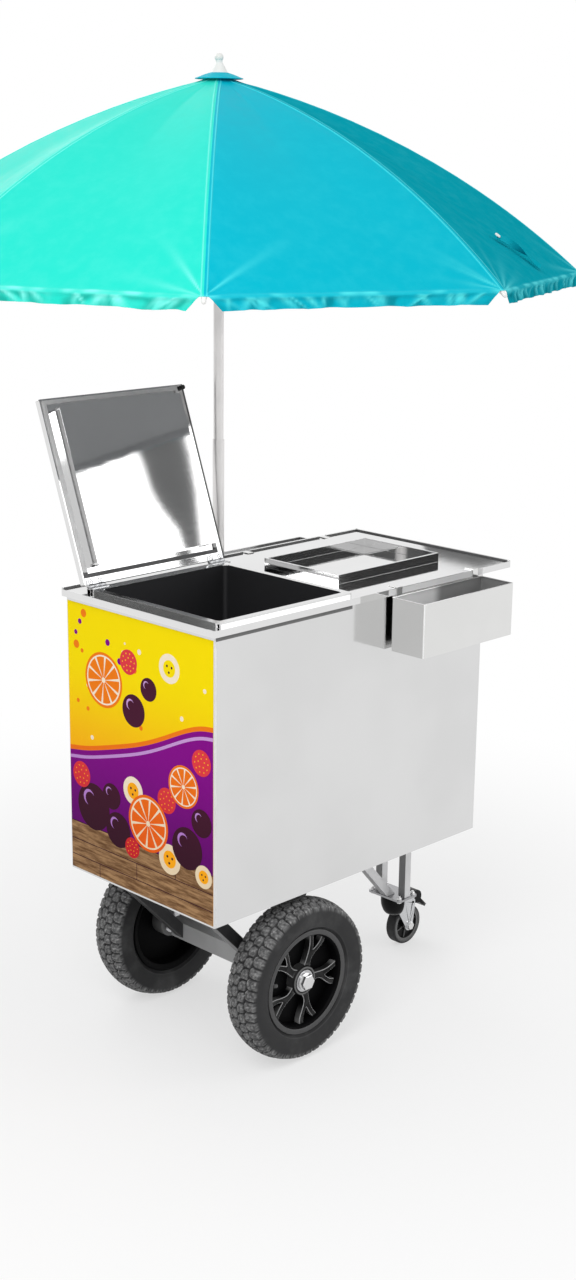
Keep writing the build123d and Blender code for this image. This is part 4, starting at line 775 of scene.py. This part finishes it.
# (axial, radius) of one side, from the bead up to the shoulder.
TYRE_WALL = ((27.5, 103.4), (29.2, 112.2), (30.0, 114.6), (31.4, 117.4), (34.6, 118.4), (36.8, 119.6),
             (37.6, 121.8), (38.6, 127.0), (39.6, 134.0), (40.0, 141.0), (39.9, 147.0), (39.4, 152.0),
             (39.6, 153.4), (39.1, 155.0), (38.4, 157.5), (37.8, 159.6))
# The last look paints the highlight on the spokes' upper edges.
RIM_LOOKS = ("black_plastic", "rubber", "rim_lip", "rim_deep", "spoke_painted_highlight")
PLASTIC, RUBBER, LIP, DEEP, EDGE = range(len(RIM_LOOKS))
# Barrel, lip, web and hub: look, steps round, (axial, radius).
RIM_TURNINGS = (
    (DEEP, 96, ((-34, 108), (-34, 112), (-32.6, 113), (-30.6, 113), (-29, 110), (-27, 104), (-20, 102.8),
                (20, 102.8), (27, 104), (28.5, 107), (30.5, 107), (30.5, 101.5), (28.5, 99.3), (24, 98),
                (-24, 98), (-29, 99.5), (-32, 104))),
    (LIP, 96, ((27.5, 105.4), (31.2, 102.4), (33.2, 102.9), (34.0, 104.4), (34.0, 110.8), (33.1, 112.5),
               (31.0, 113.0), (29.0, 110.0))),
    (DEEP, 96, ((0.0, 31.0), (0.0, 99.5), (4.0, 99.5), (4.0, 31.0))),
    (PLASTIC, 56, ((-33, 23.7), (-33, 31), (-31, 33), (14, 33), (20.5, 32.2), (22.5, 30.6), (25, 29.8),
                   (25, 26.2), (23.2, 25), (23.2, 23.7))))
SPOKES = 5
SPOKE_START = radians(-7.5)
SPOKE_HALF = ((28, 10.5), (34, 8.6), (42, 7.4), (50, 7.6), (58, 9.4), (66, 12.4), (74, 16.2), (82, 20.2),
              (90, 23.6), (97, 26.0), (98.6, 19.2), (99.4, 14.6), (92, 12.4), (84, 9.2), (76, 5.6),
              (70, 2.6), (67, 0))
SPOKE_FOOT, SPOKE_LENGTH, SPOKE_BEND = 28, 72.5, 3.0
VALVE_TURN = radians(171)
VALVE_PROFILE = ((-2, 5), (3, 5), (4, 3.6), (14, 3.1), (14.5, 4), (16, 4.3), (22, 4.1), (23.5, 3.2), (24, 1))
# Spoke levels and valve place in the wheel's frame, in metres.
SPOKE_LOW, SPOKE_HIGH, SPOKE_ROUND = 0.0045, 0.0195, 0.0011
VALVE_FOOT, VALVE_WAY = Vector((0.099, 0, 0.012)), Vector((-1, 0, 0.35))


def wheel_turn(side):
    """Turn of a wheel's frame on that side: x across, y up, z outwards along the axle."""
    return Matrix(((-side, 0, 0), (0, 0, side), (0, 1, 0))).to_4x4()


def wheel_place(name):
    return Matrix.Translation((AXLE_X, WHEEL_Y[name], AXLE_Z)) @ wheel_turn(-1 if name == "near" else 1)


def tread_drop(turn, v):
    """Depth below the tread's envelope: blocks in staggered rows with rounded corners and a slit."""
    best = 0.0
    share = turn / (2 * pi)
    for k, centre in enumerate(LUG_ROWS):
        x = ((share * LUGS + 0.5 * (k % 2) + 0.12 * sin(v * 0.16)) % 1.0 - 0.5) * LUG_PITCH
        y = v - centre
        corner = (abs(x) / LUG_LONG) ** LUG_SQUARE + (abs(y) / LUG_WIDE) ** LUG_SQUARE
        sipe = 0.28 * bell(x + 0.35 * y, 1.1) * (1 - smooth(abs(y), 4.0, 6.5))
        best = max(best, (1 - smooth(corner, 0.62, 1.25)) * (1 - sipe))
    return LUG_DEPTH * (1 - best)


def block_wear_and_highlight(drop, turn, v):
    """How pale a tread block is, part wear and part painted highlight: most along its edges, in flecks on its
    top, none in the grooves.
    """
    share = drop / LUG_DEPTH
    speck = smooth(chance(30 * cos(turn), 30 * sin(turn), v * 0.21), -0.35, 0.45)
    fleck = smooth(chance(62 * cos(turn), 62 * sin(turn), v * 0.36 + 7), 0.0, 0.5)
    top = (0.08 + 0.16 * speck + 0.22 * fleck) * (1 - smooth(share, 0.2, 0.7))
    return top + (0.35 + 0.4 * fleck) * speck * bell(share - 0.28, 0.2)


def tyre(name):
    place = wheel_place(name)
    arc = (TREAD_HALF ** 2 + TREAD_FALL ** 2) / (2 * TREAD_FALL)
    turns = [2 * pi * i / (LUGS * LUG_STEPS) for i in range(LUGS * LUG_STEPS)]
    ways = [(cos(a), sin(a)) for a in turns]
    rows, pale = [], []
    shoulder = LUG_ROWS[-1]
    drops = [tread_drop(a, shoulder) for a in turns]
    for axial, radius in TYRE_WALL:
        lug = smooth(radius, 152.0, 160.0)
        rows.append((axial, [radius - 1.6 * lug * drop / LUG_DEPTH for drop in drops]))
        pale.append([lug * block_wear_and_highlight(drop, a, shoulder) for drop, a in zip(drops, turns)])
    for i in range(int(2 * TREAD_HALF / TREAD_STEP) + 1):
        v = TREAD_HALF - TREAD_STEP * i
        crown = TYRE_RADIUS - (arc - sqrt(arc * arc - v * v))
        edge = smooth(abs(v), 31.0, 36.5)
        drops = [tread_drop(a, v * (1 - 0.12 * edge)) for a in turns]
        rows.append((v + copysign(1.2 * edge, v), [crown - drop for drop in drops]))
        pale.append([block_wear_and_highlight(drop, a, v) for drop, a in zip(drops, turns)])
    for i in reversed(range(len(TYRE_WALL))):
        rows.append((-rows[i][0], rows[i][1]))
        pale.append(pale[i])
    rounds = [[place @ Vector((c * r / 1000, s * r / 1000, axial / 1000)) for (c, s), r in zip(ways, radii)]
              for axial, radii in rows]
    shape = Shape().grid(rounds, loop=True)
    thing = shape.piece(f"{name}_tyre_tread", f"{name}_wheel", "tyre_rubber", "rubber", sharp=70)
    # Pale tread: part wear, part painted highlight.
    mark(thing, "crease", [share for row in pale for share in row])
    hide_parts(f"{name}_tyre")


def rim(name):
    place = wheel_place(name)
    out = place.to_3x3() @ UP
    shape = Shape()
    for look, steps, profile in RIM_TURNINGS:
        shape.lathe(metres(profile), place.translation, out, steps, look, ring=True)
    halves = [(r, -half) for r, half in SPOKE_HALF] + list(SPOKE_HALF[-2::-1])
    outline = metres((r, y + SPOKE_BEND * sin(2 * pi * (r - SPOKE_FOOT) / SPOKE_LENGTH)) for r, y in halves)
    for k in range(SPOKES):
        turn = place @ Matrix.Rotation(2 * pi * k / SPOKES + SPOKE_START, 4, "Z")
        # Each spoke's upper edge carries the painted highlight.
        shape.plate(outline, turn, SPOKE_LOW, SPOKE_HIGH, SPOKE_ROUND, edge_look=EDGE)
    turn = place @ Matrix.Rotation(VALVE_TURN, 4, "Z")
    shape.lathe(metres(VALVE_PROFILE), turn @ VALVE_FOOT, turn.to_3x3() @ VALVE_WAY, 18, RUBBER)
    thing = shape.piece(f"{name}_rim_moulding", f"{name}_wheel", "black_plastic", *RIM_LOOKS, sharp=32)
    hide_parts(f"{name}_rim")


# Print end: a generic fruit design in thin ink layers on the film, in mm from its lower left corner.
FILM_X, FILM_LEFT, FILM_LOW = -0.4504, -0.031, 0.365
FILM_WIDE = 437.0
INK = 0.00002
INKS = ("print", "ink_purple", "ink_orange", "ink_lilac", "ink_maroon", "ink_cream", "ink_red", "ink_boards")
YELLOW, PURPLE, ORANGE, LILAC, MAROON, CREAM, RED, BOARDS = range(len(INKS))
WAVE_STEPS = 48
BOARD_TOPS = (30, 66, 106)
GROOVE_LOW, GROOVE_HIGH = -1.2, 0.6
BUTT_START, BUTT_STEP, BUTT_WIDE = 90, 118, 1.6
DOTS = 26
DOT_SEED = 12
DOT_INKS = (ORANGE, CREAM, PURPLE)


def ink(shape, outline, level, look):
    """A closed layer of ink."""
    shape.grid([[Vector((FILM_X - rise * INK, FILM_LEFT - u / 1000, FILM_LOW + v / 1000)) for u, v in outline]
                for rise in (-1, level)], look, loop=True, caps=True)


def block(shape, low_u, low_v, high_u, high_v, level, look):
    ink(shape, [(low_u, low_v), (high_u, low_v), (high_u, high_v), (low_u, high_v)], level, look)


def on_round(u, v, radius, a):
    return u + radius * cos(a), v + radius * sin(a)


def disc(u, v, radius, start=0.0, end=2 * pi, inner=0.0):
    """A round, or the wedge of one between two angles."""
    whole = end - start > 6.28
    steps = max(int(14 * sqrt(radius / 8) * (end - start) / 6.28) + 6, 8)
    arc = [start + (end - start) * i / steps for i in range(steps if whole else steps + 1)]
    rounds = [on_round(u, v, radius, a) for a in arc]
    return rounds if whole else rounds + [on_round(u, v, inner, a) for a in (end, start)]


def wave(low, high=None):
    """The long curve where the yellow field meets the purple one, raised by low; with high, a band."""
    points = [(u, wave_height(u, low)) for u in (FILM_WIDE * i / WAVE_STEPS for i in range(WAVE_STEPS + 1))]
    return points if high is None else points + wave(high)[::-1]


def wave_height(u, lift):
    return 268 + lift + 130 * smooth(u, 30, 420) + 10 * sin(u / 60)


# Each fruit is drawn as layers: outline, level above its lowest one, ink.
def citrus(u, v, radius):
    """A cut orange: rind, pith and ten segments."""
    yield disc(u, v, radius), 0, ORANGE
    yield disc(u, v, 0.90 * radius), 1, CREAM
    for k in range(10):
        a = 0.2 + 2 * pi * k / 10
        yield disc(u, v, 0.84 * radius, a + 0.06, a + 0.57, 0.10 * radius), 2, ORANGE


def berry(u, v, radius):
    """A dark berry with a crescent of light."""
    yield disc(u, v, radius), 0, MAROON
    yield disc(u - 0.30 * radius, v + 0.34 * radius, 0.34 * radius), 1, LILAC
    yield disc(u - 0.22 * radius, v + 0.28 * radius, 0.30 * radius), 2, MAROON


def pale_slice(u, v, radius):
    """A pale fruit slice with three seeds."""
    yield disc(u, v, radius), 0, CREAM
    yield disc(u, v, 0.58 * radius), 1, YELLOW
    for k in range(3):
        yield disc(*on_round(u, v, 0.26 * radius, 2.1 * k + 0.4), 0.09 * radius), 2, MAROON


def red_fruit(u, v, radius):
    """A red fruit with two rings of seeds."""
    yield disc(u, v, radius), 0, RED
    for ring, count in ((0.34, 5), (0.70, 10)):
        for k in range(count):
            seed = on_round(u, v, ring * radius, 2 * pi * k / count + ring)
            yield disc(*seed, 0.055 * radius), 1, YELLOW


FRUIT = (
    (berry, 74, 152, 51), (red_fruit, 36, 214, 28), (berry, 152, 122, 38), (berry, 132, 190, 28),
    (pale_slice, 200, 220, 30), (red_fruit, 196, 96, 22), (citrus, 246, 162, 60), (pale_slice, 310, 104, 32),
    (red_fruit, 302, 226, 27), (berry, 362, 142, 44), (citrus, 352, 268, 44), (pale_slice, 410, 96, 24),
    (berry, 404, 206, 29), (red_fruit, 404, 330, 27), (citrus, 112, 434, 58), (berry, 204, 390, 34),
    (berry, 250, 444, 24), (red_fruit, 190, 488, 26), (pale_slice, 312, 500, 30))
FIRST_FRUIT_LEVEL, FRUIT_LEVELS, FRUIT_ROUND = 4, 3, 7


def print_design():
    shape = Shape()
    ink(shape, [(0, 0), (FILM_WIDE, 0)] + wave(0.0)[::-1], 1, PURPLE)
    ink(shape, wave(-7, 3), 2, ORANGE)
    ink(shape, wave(-25, -18), 2, LILAC)
    block(shape, 0, 0, FILM_WIDE, BOARD_TOPS[-1], 2, BOARDS)
    for k, top in enumerate(BOARD_TOPS):
        block(shape, 0, top + GROOVE_LOW, FILM_WIDE, top + GROOVE_HIGH, 3, MAROON)
        butt = BUTT_START + BUTT_STEP * k
        foot = BOARD_TOPS[k - 1] + GROOVE_HIGH if k else 0
        block(shape, butt, foot, butt + BUTT_WIDE, top + GROOVE_LOW, 3, MAROON)
    draw = random.Random(DOT_SEED)
    for k in range(DOTS):
        u, v, radius = draw.uniform(14, 423), draw.uniform(300, 566), draw.uniform(2.5, 9.0)
        if v - radius > wave_height(u, 14):
            ink(shape, disc(u, v, radius), 1 + k % 3, DOT_INKS[k % 3])
    for k, (fruit, u, v, radius) in enumerate(FRUIT):
        level = FIRST_FRUIT_LEVEL + FRUIT_LEVELS * (k % FRUIT_ROUND)
        for outline, rise, colour in fruit(u, v, radius):
            ink(shape, outline, level + rise, colour)
    shape.piece("print_design", "cart", "print", *INKS)


# Small trim on the body: film edge, a black strip under the worktop that paints the shadow of its overhang,
# bin hems, the worktop's bead, hinge screws.
CASING_Y = -0.472
BIN_HEM_Y = {"near": -0.4818, "far": -0.0184}
BEAD_RUNS = ((-0.4560, 0.0500), (0.0740, 0.2970), (0.3210, 0.4300))
HINGE_AXIS = Vector((0, -0.076, 0.9777))
LID_UP = Vector((0, 0.3518, 0.936))
LID_INWARD = Vector((0, -0.936, 0.3518))
LID_SCREWS = HINGE_AXIS + LID_UP * 0.0090 - LID_INWARD * 0.0002
FRAME_SCREWS = Vector((0, -0.0862, 0.9775))
HINGE_CENTRES = (-0.4105, -0.077)
SCREW_GAP = 0.0125
SCREW_RING = ((0.0, 0.0042), (0.0001, 0.0043), (0.0001, 0.0052), (0.0, 0.0053))


def bars(name, body, slot, *rows, looks=()):
    """A piece of bars with rounded edges; rows give each one's low and high corner, rounding and look."""
    shape = Shape()
    for low, high, soft, look in rows:
        low, high = Vector(low), Vector(high)
        outline = [(low.x, low.y), (high.x, low.y), (high.x, high.y), (low.x, high.y)]
        shape.plate(outline, Matrix.Identity(4), low.z, high.z, soft, look)
    shape.piece(name, body, slot, *looks)


def body_trim():
    bars("film_wrap_edge", "cart", "white_plastic",
         ((-0.4503, CASING_Y - 0.0005, 0.3660), (-0.4458, CASING_Y + 0.0002, 0.9500), 0.0001, 0))
    # A black strip painting the shadow under the worktop's overhang.
    bars("worktop_shadow_strip", "cart", "black_rubber",
         ((-0.4470, CASING_Y - 0.0016, 0.9442), (-0.0720, CASING_Y + 0.0002, 0.9538), 0.0007, 0),
         looks=["black_plastic"])
    for name, low_y in BIN_HEM_Y.items():
        bars(f"{name}_bin_hem", f"{name}_bin_body", "polished_steel",
             ((0.0412, low_y, 0.9490), (0.3298, low_y + 0.0012, 0.9536), 0.0003, 0), looks=["bin_steel"])
    rows = []
    for low, high in BEAD_RUNS:
        rows.append(((low, -0.0262, 0.9678), (high, -0.0202, 0.9716), 0.0012, 0))
        rows.append(((low, -0.0270, 0.9678), (high, -0.0261, 0.9713), 0.0002, 1))
    rows.append(((0.4240, -0.4780, 0.9678), (0.4300, -0.0205, 0.9716), 0.0012, 0))
    rows.append(((0.4232, -0.4780, 0.9678), (0.4241, -0.0268, 0.9713), 0.0002, 1))
    bars("worktop_bead", "cart", "polished_steel", *rows, looks=["deck_steel", "rim_lip"])


def screw_head(shape, spot, axis, radius, height):
    """A domed head with a cross recess."""
    axis = axis.normalized()
    shape.lathe(((-0.0004, radius), (0.35 * height, radius), (0.7 * height, 0.86 * radius),
                 (0.93 * height, 0.55 * radius), (height, 0.1 * radius)), spot, axis, 24)
    side = axis.orthogonal().normalized()
    half, proud = 0.13 * radius, 0.25 * height
    section = [(-half, -half), (half, -half), (half, proud), (-half, proud)]
    for along in (side, axis.cross(side)):
        reach = along * 0.62 * radius
        path = [spot + axis * height * 0.9 - reach, spot + axis * height * 1.02 - reach * 0.3,
                spot + axis * height * 1.02 + reach * 0.3, spot + axis * height * 0.9 + reach]
        shape.sweep(path, section, axis.cross(along), look=1)


def hinge_screws(name, body, middle, axis, radius, height, ring):
    """The screws of both hinges in one set of leaves; middle lies between the two of a hinge."""
    shape = Shape()
    for centre in HINGE_CENTRES:
        for side in SIDES:
            spot = middle + Vector((centre + SCREW_GAP * side, 0, 0))
            screw_head(shape, spot, axis, radius, height)
            if ring:
                shape.lathe(SCREW_RING, spot, axis, 28, 1, ring=True)
    shape.piece(name, body, "bearing_steel", "bright_bolt", "dark_frame")


# Caster: bolts of its plate, moulded hood, ribs of its wheel.
CASTER_PLATE = ((0.303, 0.367), (-0.2995, -0.1995), (0.135, 0.140))
BOLT_INSET = 0.0085
BOLT_ACROSS = 0.010
BOLT_SEAT = 0.0002
WASHER_PROFILE = ((0, 0.0064), (0.0011, 0.0064), (0.0012, 0.0056), (0.0012, 0.002))
SHANK_PROFILE = ((0, 0.003), (0.009, 0.003), (0.0096, 0.0024), (0.0098, 0.0006))
SWIVEL = Vector((0.340, -0.2495, 0.0))
CASTER_AXLE = Vector((0.376, -0.2495, 0.048))
# (height, radius) in mm, down the outside and up the inside.
HOOD_PROFILE = ((133.6, 28.4), (132.6, 29.4), (129, 30.5), (124, 31.0), (116, 31.0), (109, 30.2), (102, 28.4),
                (96, 26.0), (91, 23.0), (87.5, 19.6), (88.6, 18.4), (92.5, 21.6), (97, 24.0), (103, 26.4),
                (109, 28.0), (116, 28.6), (124, 28.6), (133.6, 27.8))
HOOD_START, HOOD_SWEEP, HOOD_STEPS = 83, 194, 40
WHEEL_RIBS, WHEEL_RIB_START = 6, 0.3
WHEEL_RIB_LOW, WHEEL_RIB_HIGH, WHEEL_RIB_ROUND = 0.0066, 0.0098, 0.0005
WHEEL_RIB = ((0.0130, -0.0020), (0.0325, -0.0012), (0.0325, 0.0012), (0.0130, 0.0020))


def hexagon(shape, spot, axis, height):
    """A hexagon head with a chamfered top."""
    radius = BOLT_ACROSS / sqrt(3)
    shape.lathe(((0.0, radius), (0.78 * height, radius), (height, 0.86 * radius)), spot, axis, 6)


def caster_bolts():
    (left, right), (front, back), (low, high) = CASTER_PLATE
    shape = Shape()
    for x in (left + BOLT_INSET, right - BOLT_INSET):
        for y in (front + BOLT_INSET, back - BOLT_INSET):
            top = Vector((x, y, high - BOLT_SEAT))
            shape.lathe(WASHER_PROFILE, top, UP, 20)
            hexagon(shape, top + UP * 0.001, UP, 0.0052)
            shape.lathe(SHANK_PROFILE, top, UP, 16)
            hexagon(shape, Vector((x, y, low + BOLT_SEAT)), -UP, 0.0040)
    shape.piece("caster_plate_bolts", "cart", "bearing_steel", "bright_bolt", sharp=25)


def caster_hood_cover():
    """Moulded cover behind the swivel: a thin shell, round like a ball below."""
    rows = []
    for i in range(HOOD_STEPS + 1):
        way = level_way(radians(HOOD_START + HOOD_SWEEP * i / HOOD_STEPS))
        rows.append([SWIVEL + way * (r / 1000) + UP * (z / 1000) for z, r in HOOD_PROFILE])
    shape = Shape().grid(rows, loop=True, caps=True)
    cover = shape.piece("caster_hood_cover", "caster_swivel_body", "black_plastic")
    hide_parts("caster_hood")


def caster_wheel_ribs():
    """Stiffening ribs in the dish of the caster wheel, on both faces."""
    shape = Shape()
    for side in SIDES:
        face = Matrix.Translation(CASTER_AXLE) @ wheel_turn(side)
        for k in range(WHEEL_RIBS):
            turn = face @ Matrix.Rotation(2 * pi * k / WHEEL_RIBS + WHEEL_RIB_START, 4, "Z")
            shape.plate(WHEEL_RIB, turn, WHEEL_RIB_LOW, WHEEL_RIB_HIGH, WHEEL_RIB_ROUND)
    shape.piece("caster_wheel_ribs", "caster_roller", "black_plastic", "rim_lip")


SHEET_NODES = ("casing", "worktop", "tray_collar", "tub", "near_bin", "far_bin", "lid_cover", "lid_plug",
               "hinge_rail", "hinge_frame_leaves", "hinge_lid_leaves")
BAR_NODES = ("axle_beam", "axle_arms", "caster_legs", "caster_brace", "caster_plate", "axle_nuts",
             "caster_fork", "pole_holder", "brake_pedal")
SHEET_EDGE, BAR_EDGE = 0.0004, 0.0009


def soften(names, width):
    """Break the sharp edges of folded sheet and sawn bar."""
    for name in names:
        weld = nodes[name].modifiers.new("weld", "WELD")
        weld.merge_threshold = 0.00001
        bevel = nodes[name].modifiers.new("bevel", "BEVEL")
        bevel.width = width
        bevel.segments = 2
        bevel.limit_method = "ANGLE"
        bevel.angle_limit = radians(35)
        bevel.harden_normals = True


for rib_number in range(1, RIBS + 1):
    canopy_piece(rib_number)
    tip_cap(rib_number)
top_cap()
tie_strap()
for wheel in WHEEL_Y:
    tyre(wheel)
    rim(wheel)
print_design()
body_trim()
hinge_screws("lid_hinge_screws", "lid", LID_SCREWS, LID_INWARD, 0.0040, 0.00016, True)
hinge_screws("frame_hinge_screws", "cart", FRAME_SCREWS, UP, 0.0030, 0.00014, False)
caster_bolts()
caster_hood_cover()
caster_wheel_ribs()
soften(SHEET_NODES, SHEET_EDGE)
soften(BAR_NODES, BAR_EDGE)

# The set: a pale floor that fades to white, a white surround and soft lamps.
WHITE = (1.0, 1.0, 1.0, 1.0)
SURROUND_LIGHT = 0.55
FLOOR_REACH = 40.0
FLOOR_GREY = 0.86
FLOOR_FADE = (0.35, 2.0, 0.58, 1.0)
LAMP_AIM = Vector((0.0, -0.2, 0.9))
LAMPS = (("key", (-2.6, -1.6, 3.6), 2.2, 70.0), ("fill", (2.8, -3.2, 2.4), 2.4, 26.0),
         ("back", (0.8, 3.0, 3.4), 2.4, 30.0))
# Dark cards beside it, seen only in bright metal: tone, bearing, (across, up) on a plane that faces inwards.
FLAG_CENTRE = Vector((-0.24, -0.08, 0.0))
FLAG_REACH = 2.4
FLAGS = (
    ("lid_flag", 0.20, -45, ((-0.004, 2.27), (-0.014, 2.16), (-0.033, 2.043), (-0.024, 1.95),
                             (-0.012, 1.887), (-0.030, 1.74), (0.045, 1.715), (0.030, 1.775),
                             (0.071, 1.879), (0.112, 1.982), (0.151, 2.108), (0.190, 2.27))),
    ("rim_flag", 0.16, 135, ((-0.50, 1.38), (0.42, 1.38), (0.42, 1.95), (-0.50, 1.95))),
    ("deck_flag", 0.20, 42, ((-0.600, 1.36), (-0.633, 1.432), (-0.680, 1.450), (-0.809, 1.480),
                             (-0.862, 1.468), (-0.93, 1.44), (-0.93, 1.36))),
    ("collar_flag", 0.06, -45, ((0.0, 1.22), (0.46, 1.22), (0.46, 1.56), (0.0, 1.56))),
)


def flat(name, corners):
    """One flat face of the set, in the look of its name."""
    mesh = bpy.data.meshes.new(name)
    mesh.from_pydata([tuple(p) for p in corners], [], [tuple(range(len(corners)))])
    mesh.materials.append(LOOKS[name])
    thing = put(name, mesh)
    return thing


def studio():
    scene.world = bpy.data.worlds.new("studio")
    sky = Shader(scene.world, "Background", Color=WHITE)
    sky.give(Strength=sky.add("MapRange", Value=sky.seen(), To_Min=SURROUND_LIGHT, To_Max=1.0).outputs[0])

    s = look("floor", Base_Color=(FLOOR_GREY, FLOOR_GREY, FLOOR_GREY, 1.0), Roughness=0.8)
    far = s.add("VectorMath", {"operation": "LENGTH"}, Vector=s.place()).outputs["Value"]
    share = s.math("MULTIPLY", s.ramp(far, *FLOOR_FADE), s.seen())
    glow = s.add("Emission", Color=WHITE, Strength=1.0)
    blend = s.fill(s.add("MixShader"), share, s.last.outputs[0], glow.outputs[0])
    s.set(s.tree.nodes["Material Output"], Surface=blend)
    flat("floor", [(FLOOR_REACH * x, FLOOR_REACH * y, 0) for x, y in ((-1, -1), (1, -1), (1, 1), (-1, 1))])

    for name, tone, bearing, corners in FLAGS:
        look(name, 0.0, Base_Color=(tone, tone, tone, 1.0), Roughness=1.0)
        ahead = level_way(radians(bearing))
        side = Vector((-ahead.y, ahead.x, 0.0))
        stand = FLAG_CENTRE + ahead * FLAG_REACH
        card = flat(name, [stand + side * across + UP * up for across, up in corners])
        card.visible_camera = card.visible_diffuse = card.visible_shadow = card.visible_transmission = False

    for name, spot, size, power in LAMPS:
        lamp = bpy.data.lights.new(name, "AREA")
        lamp.size = size
        lamp.energy = power
        holder = put(name, lamp)
        holder.location = spot
        holder.rotation_euler = (LAMP_AIM - Vector(spot)).to_track_quat("-Z", "Y").to_euler()


studio()

scene.view_settings.view_transform = "Standard"
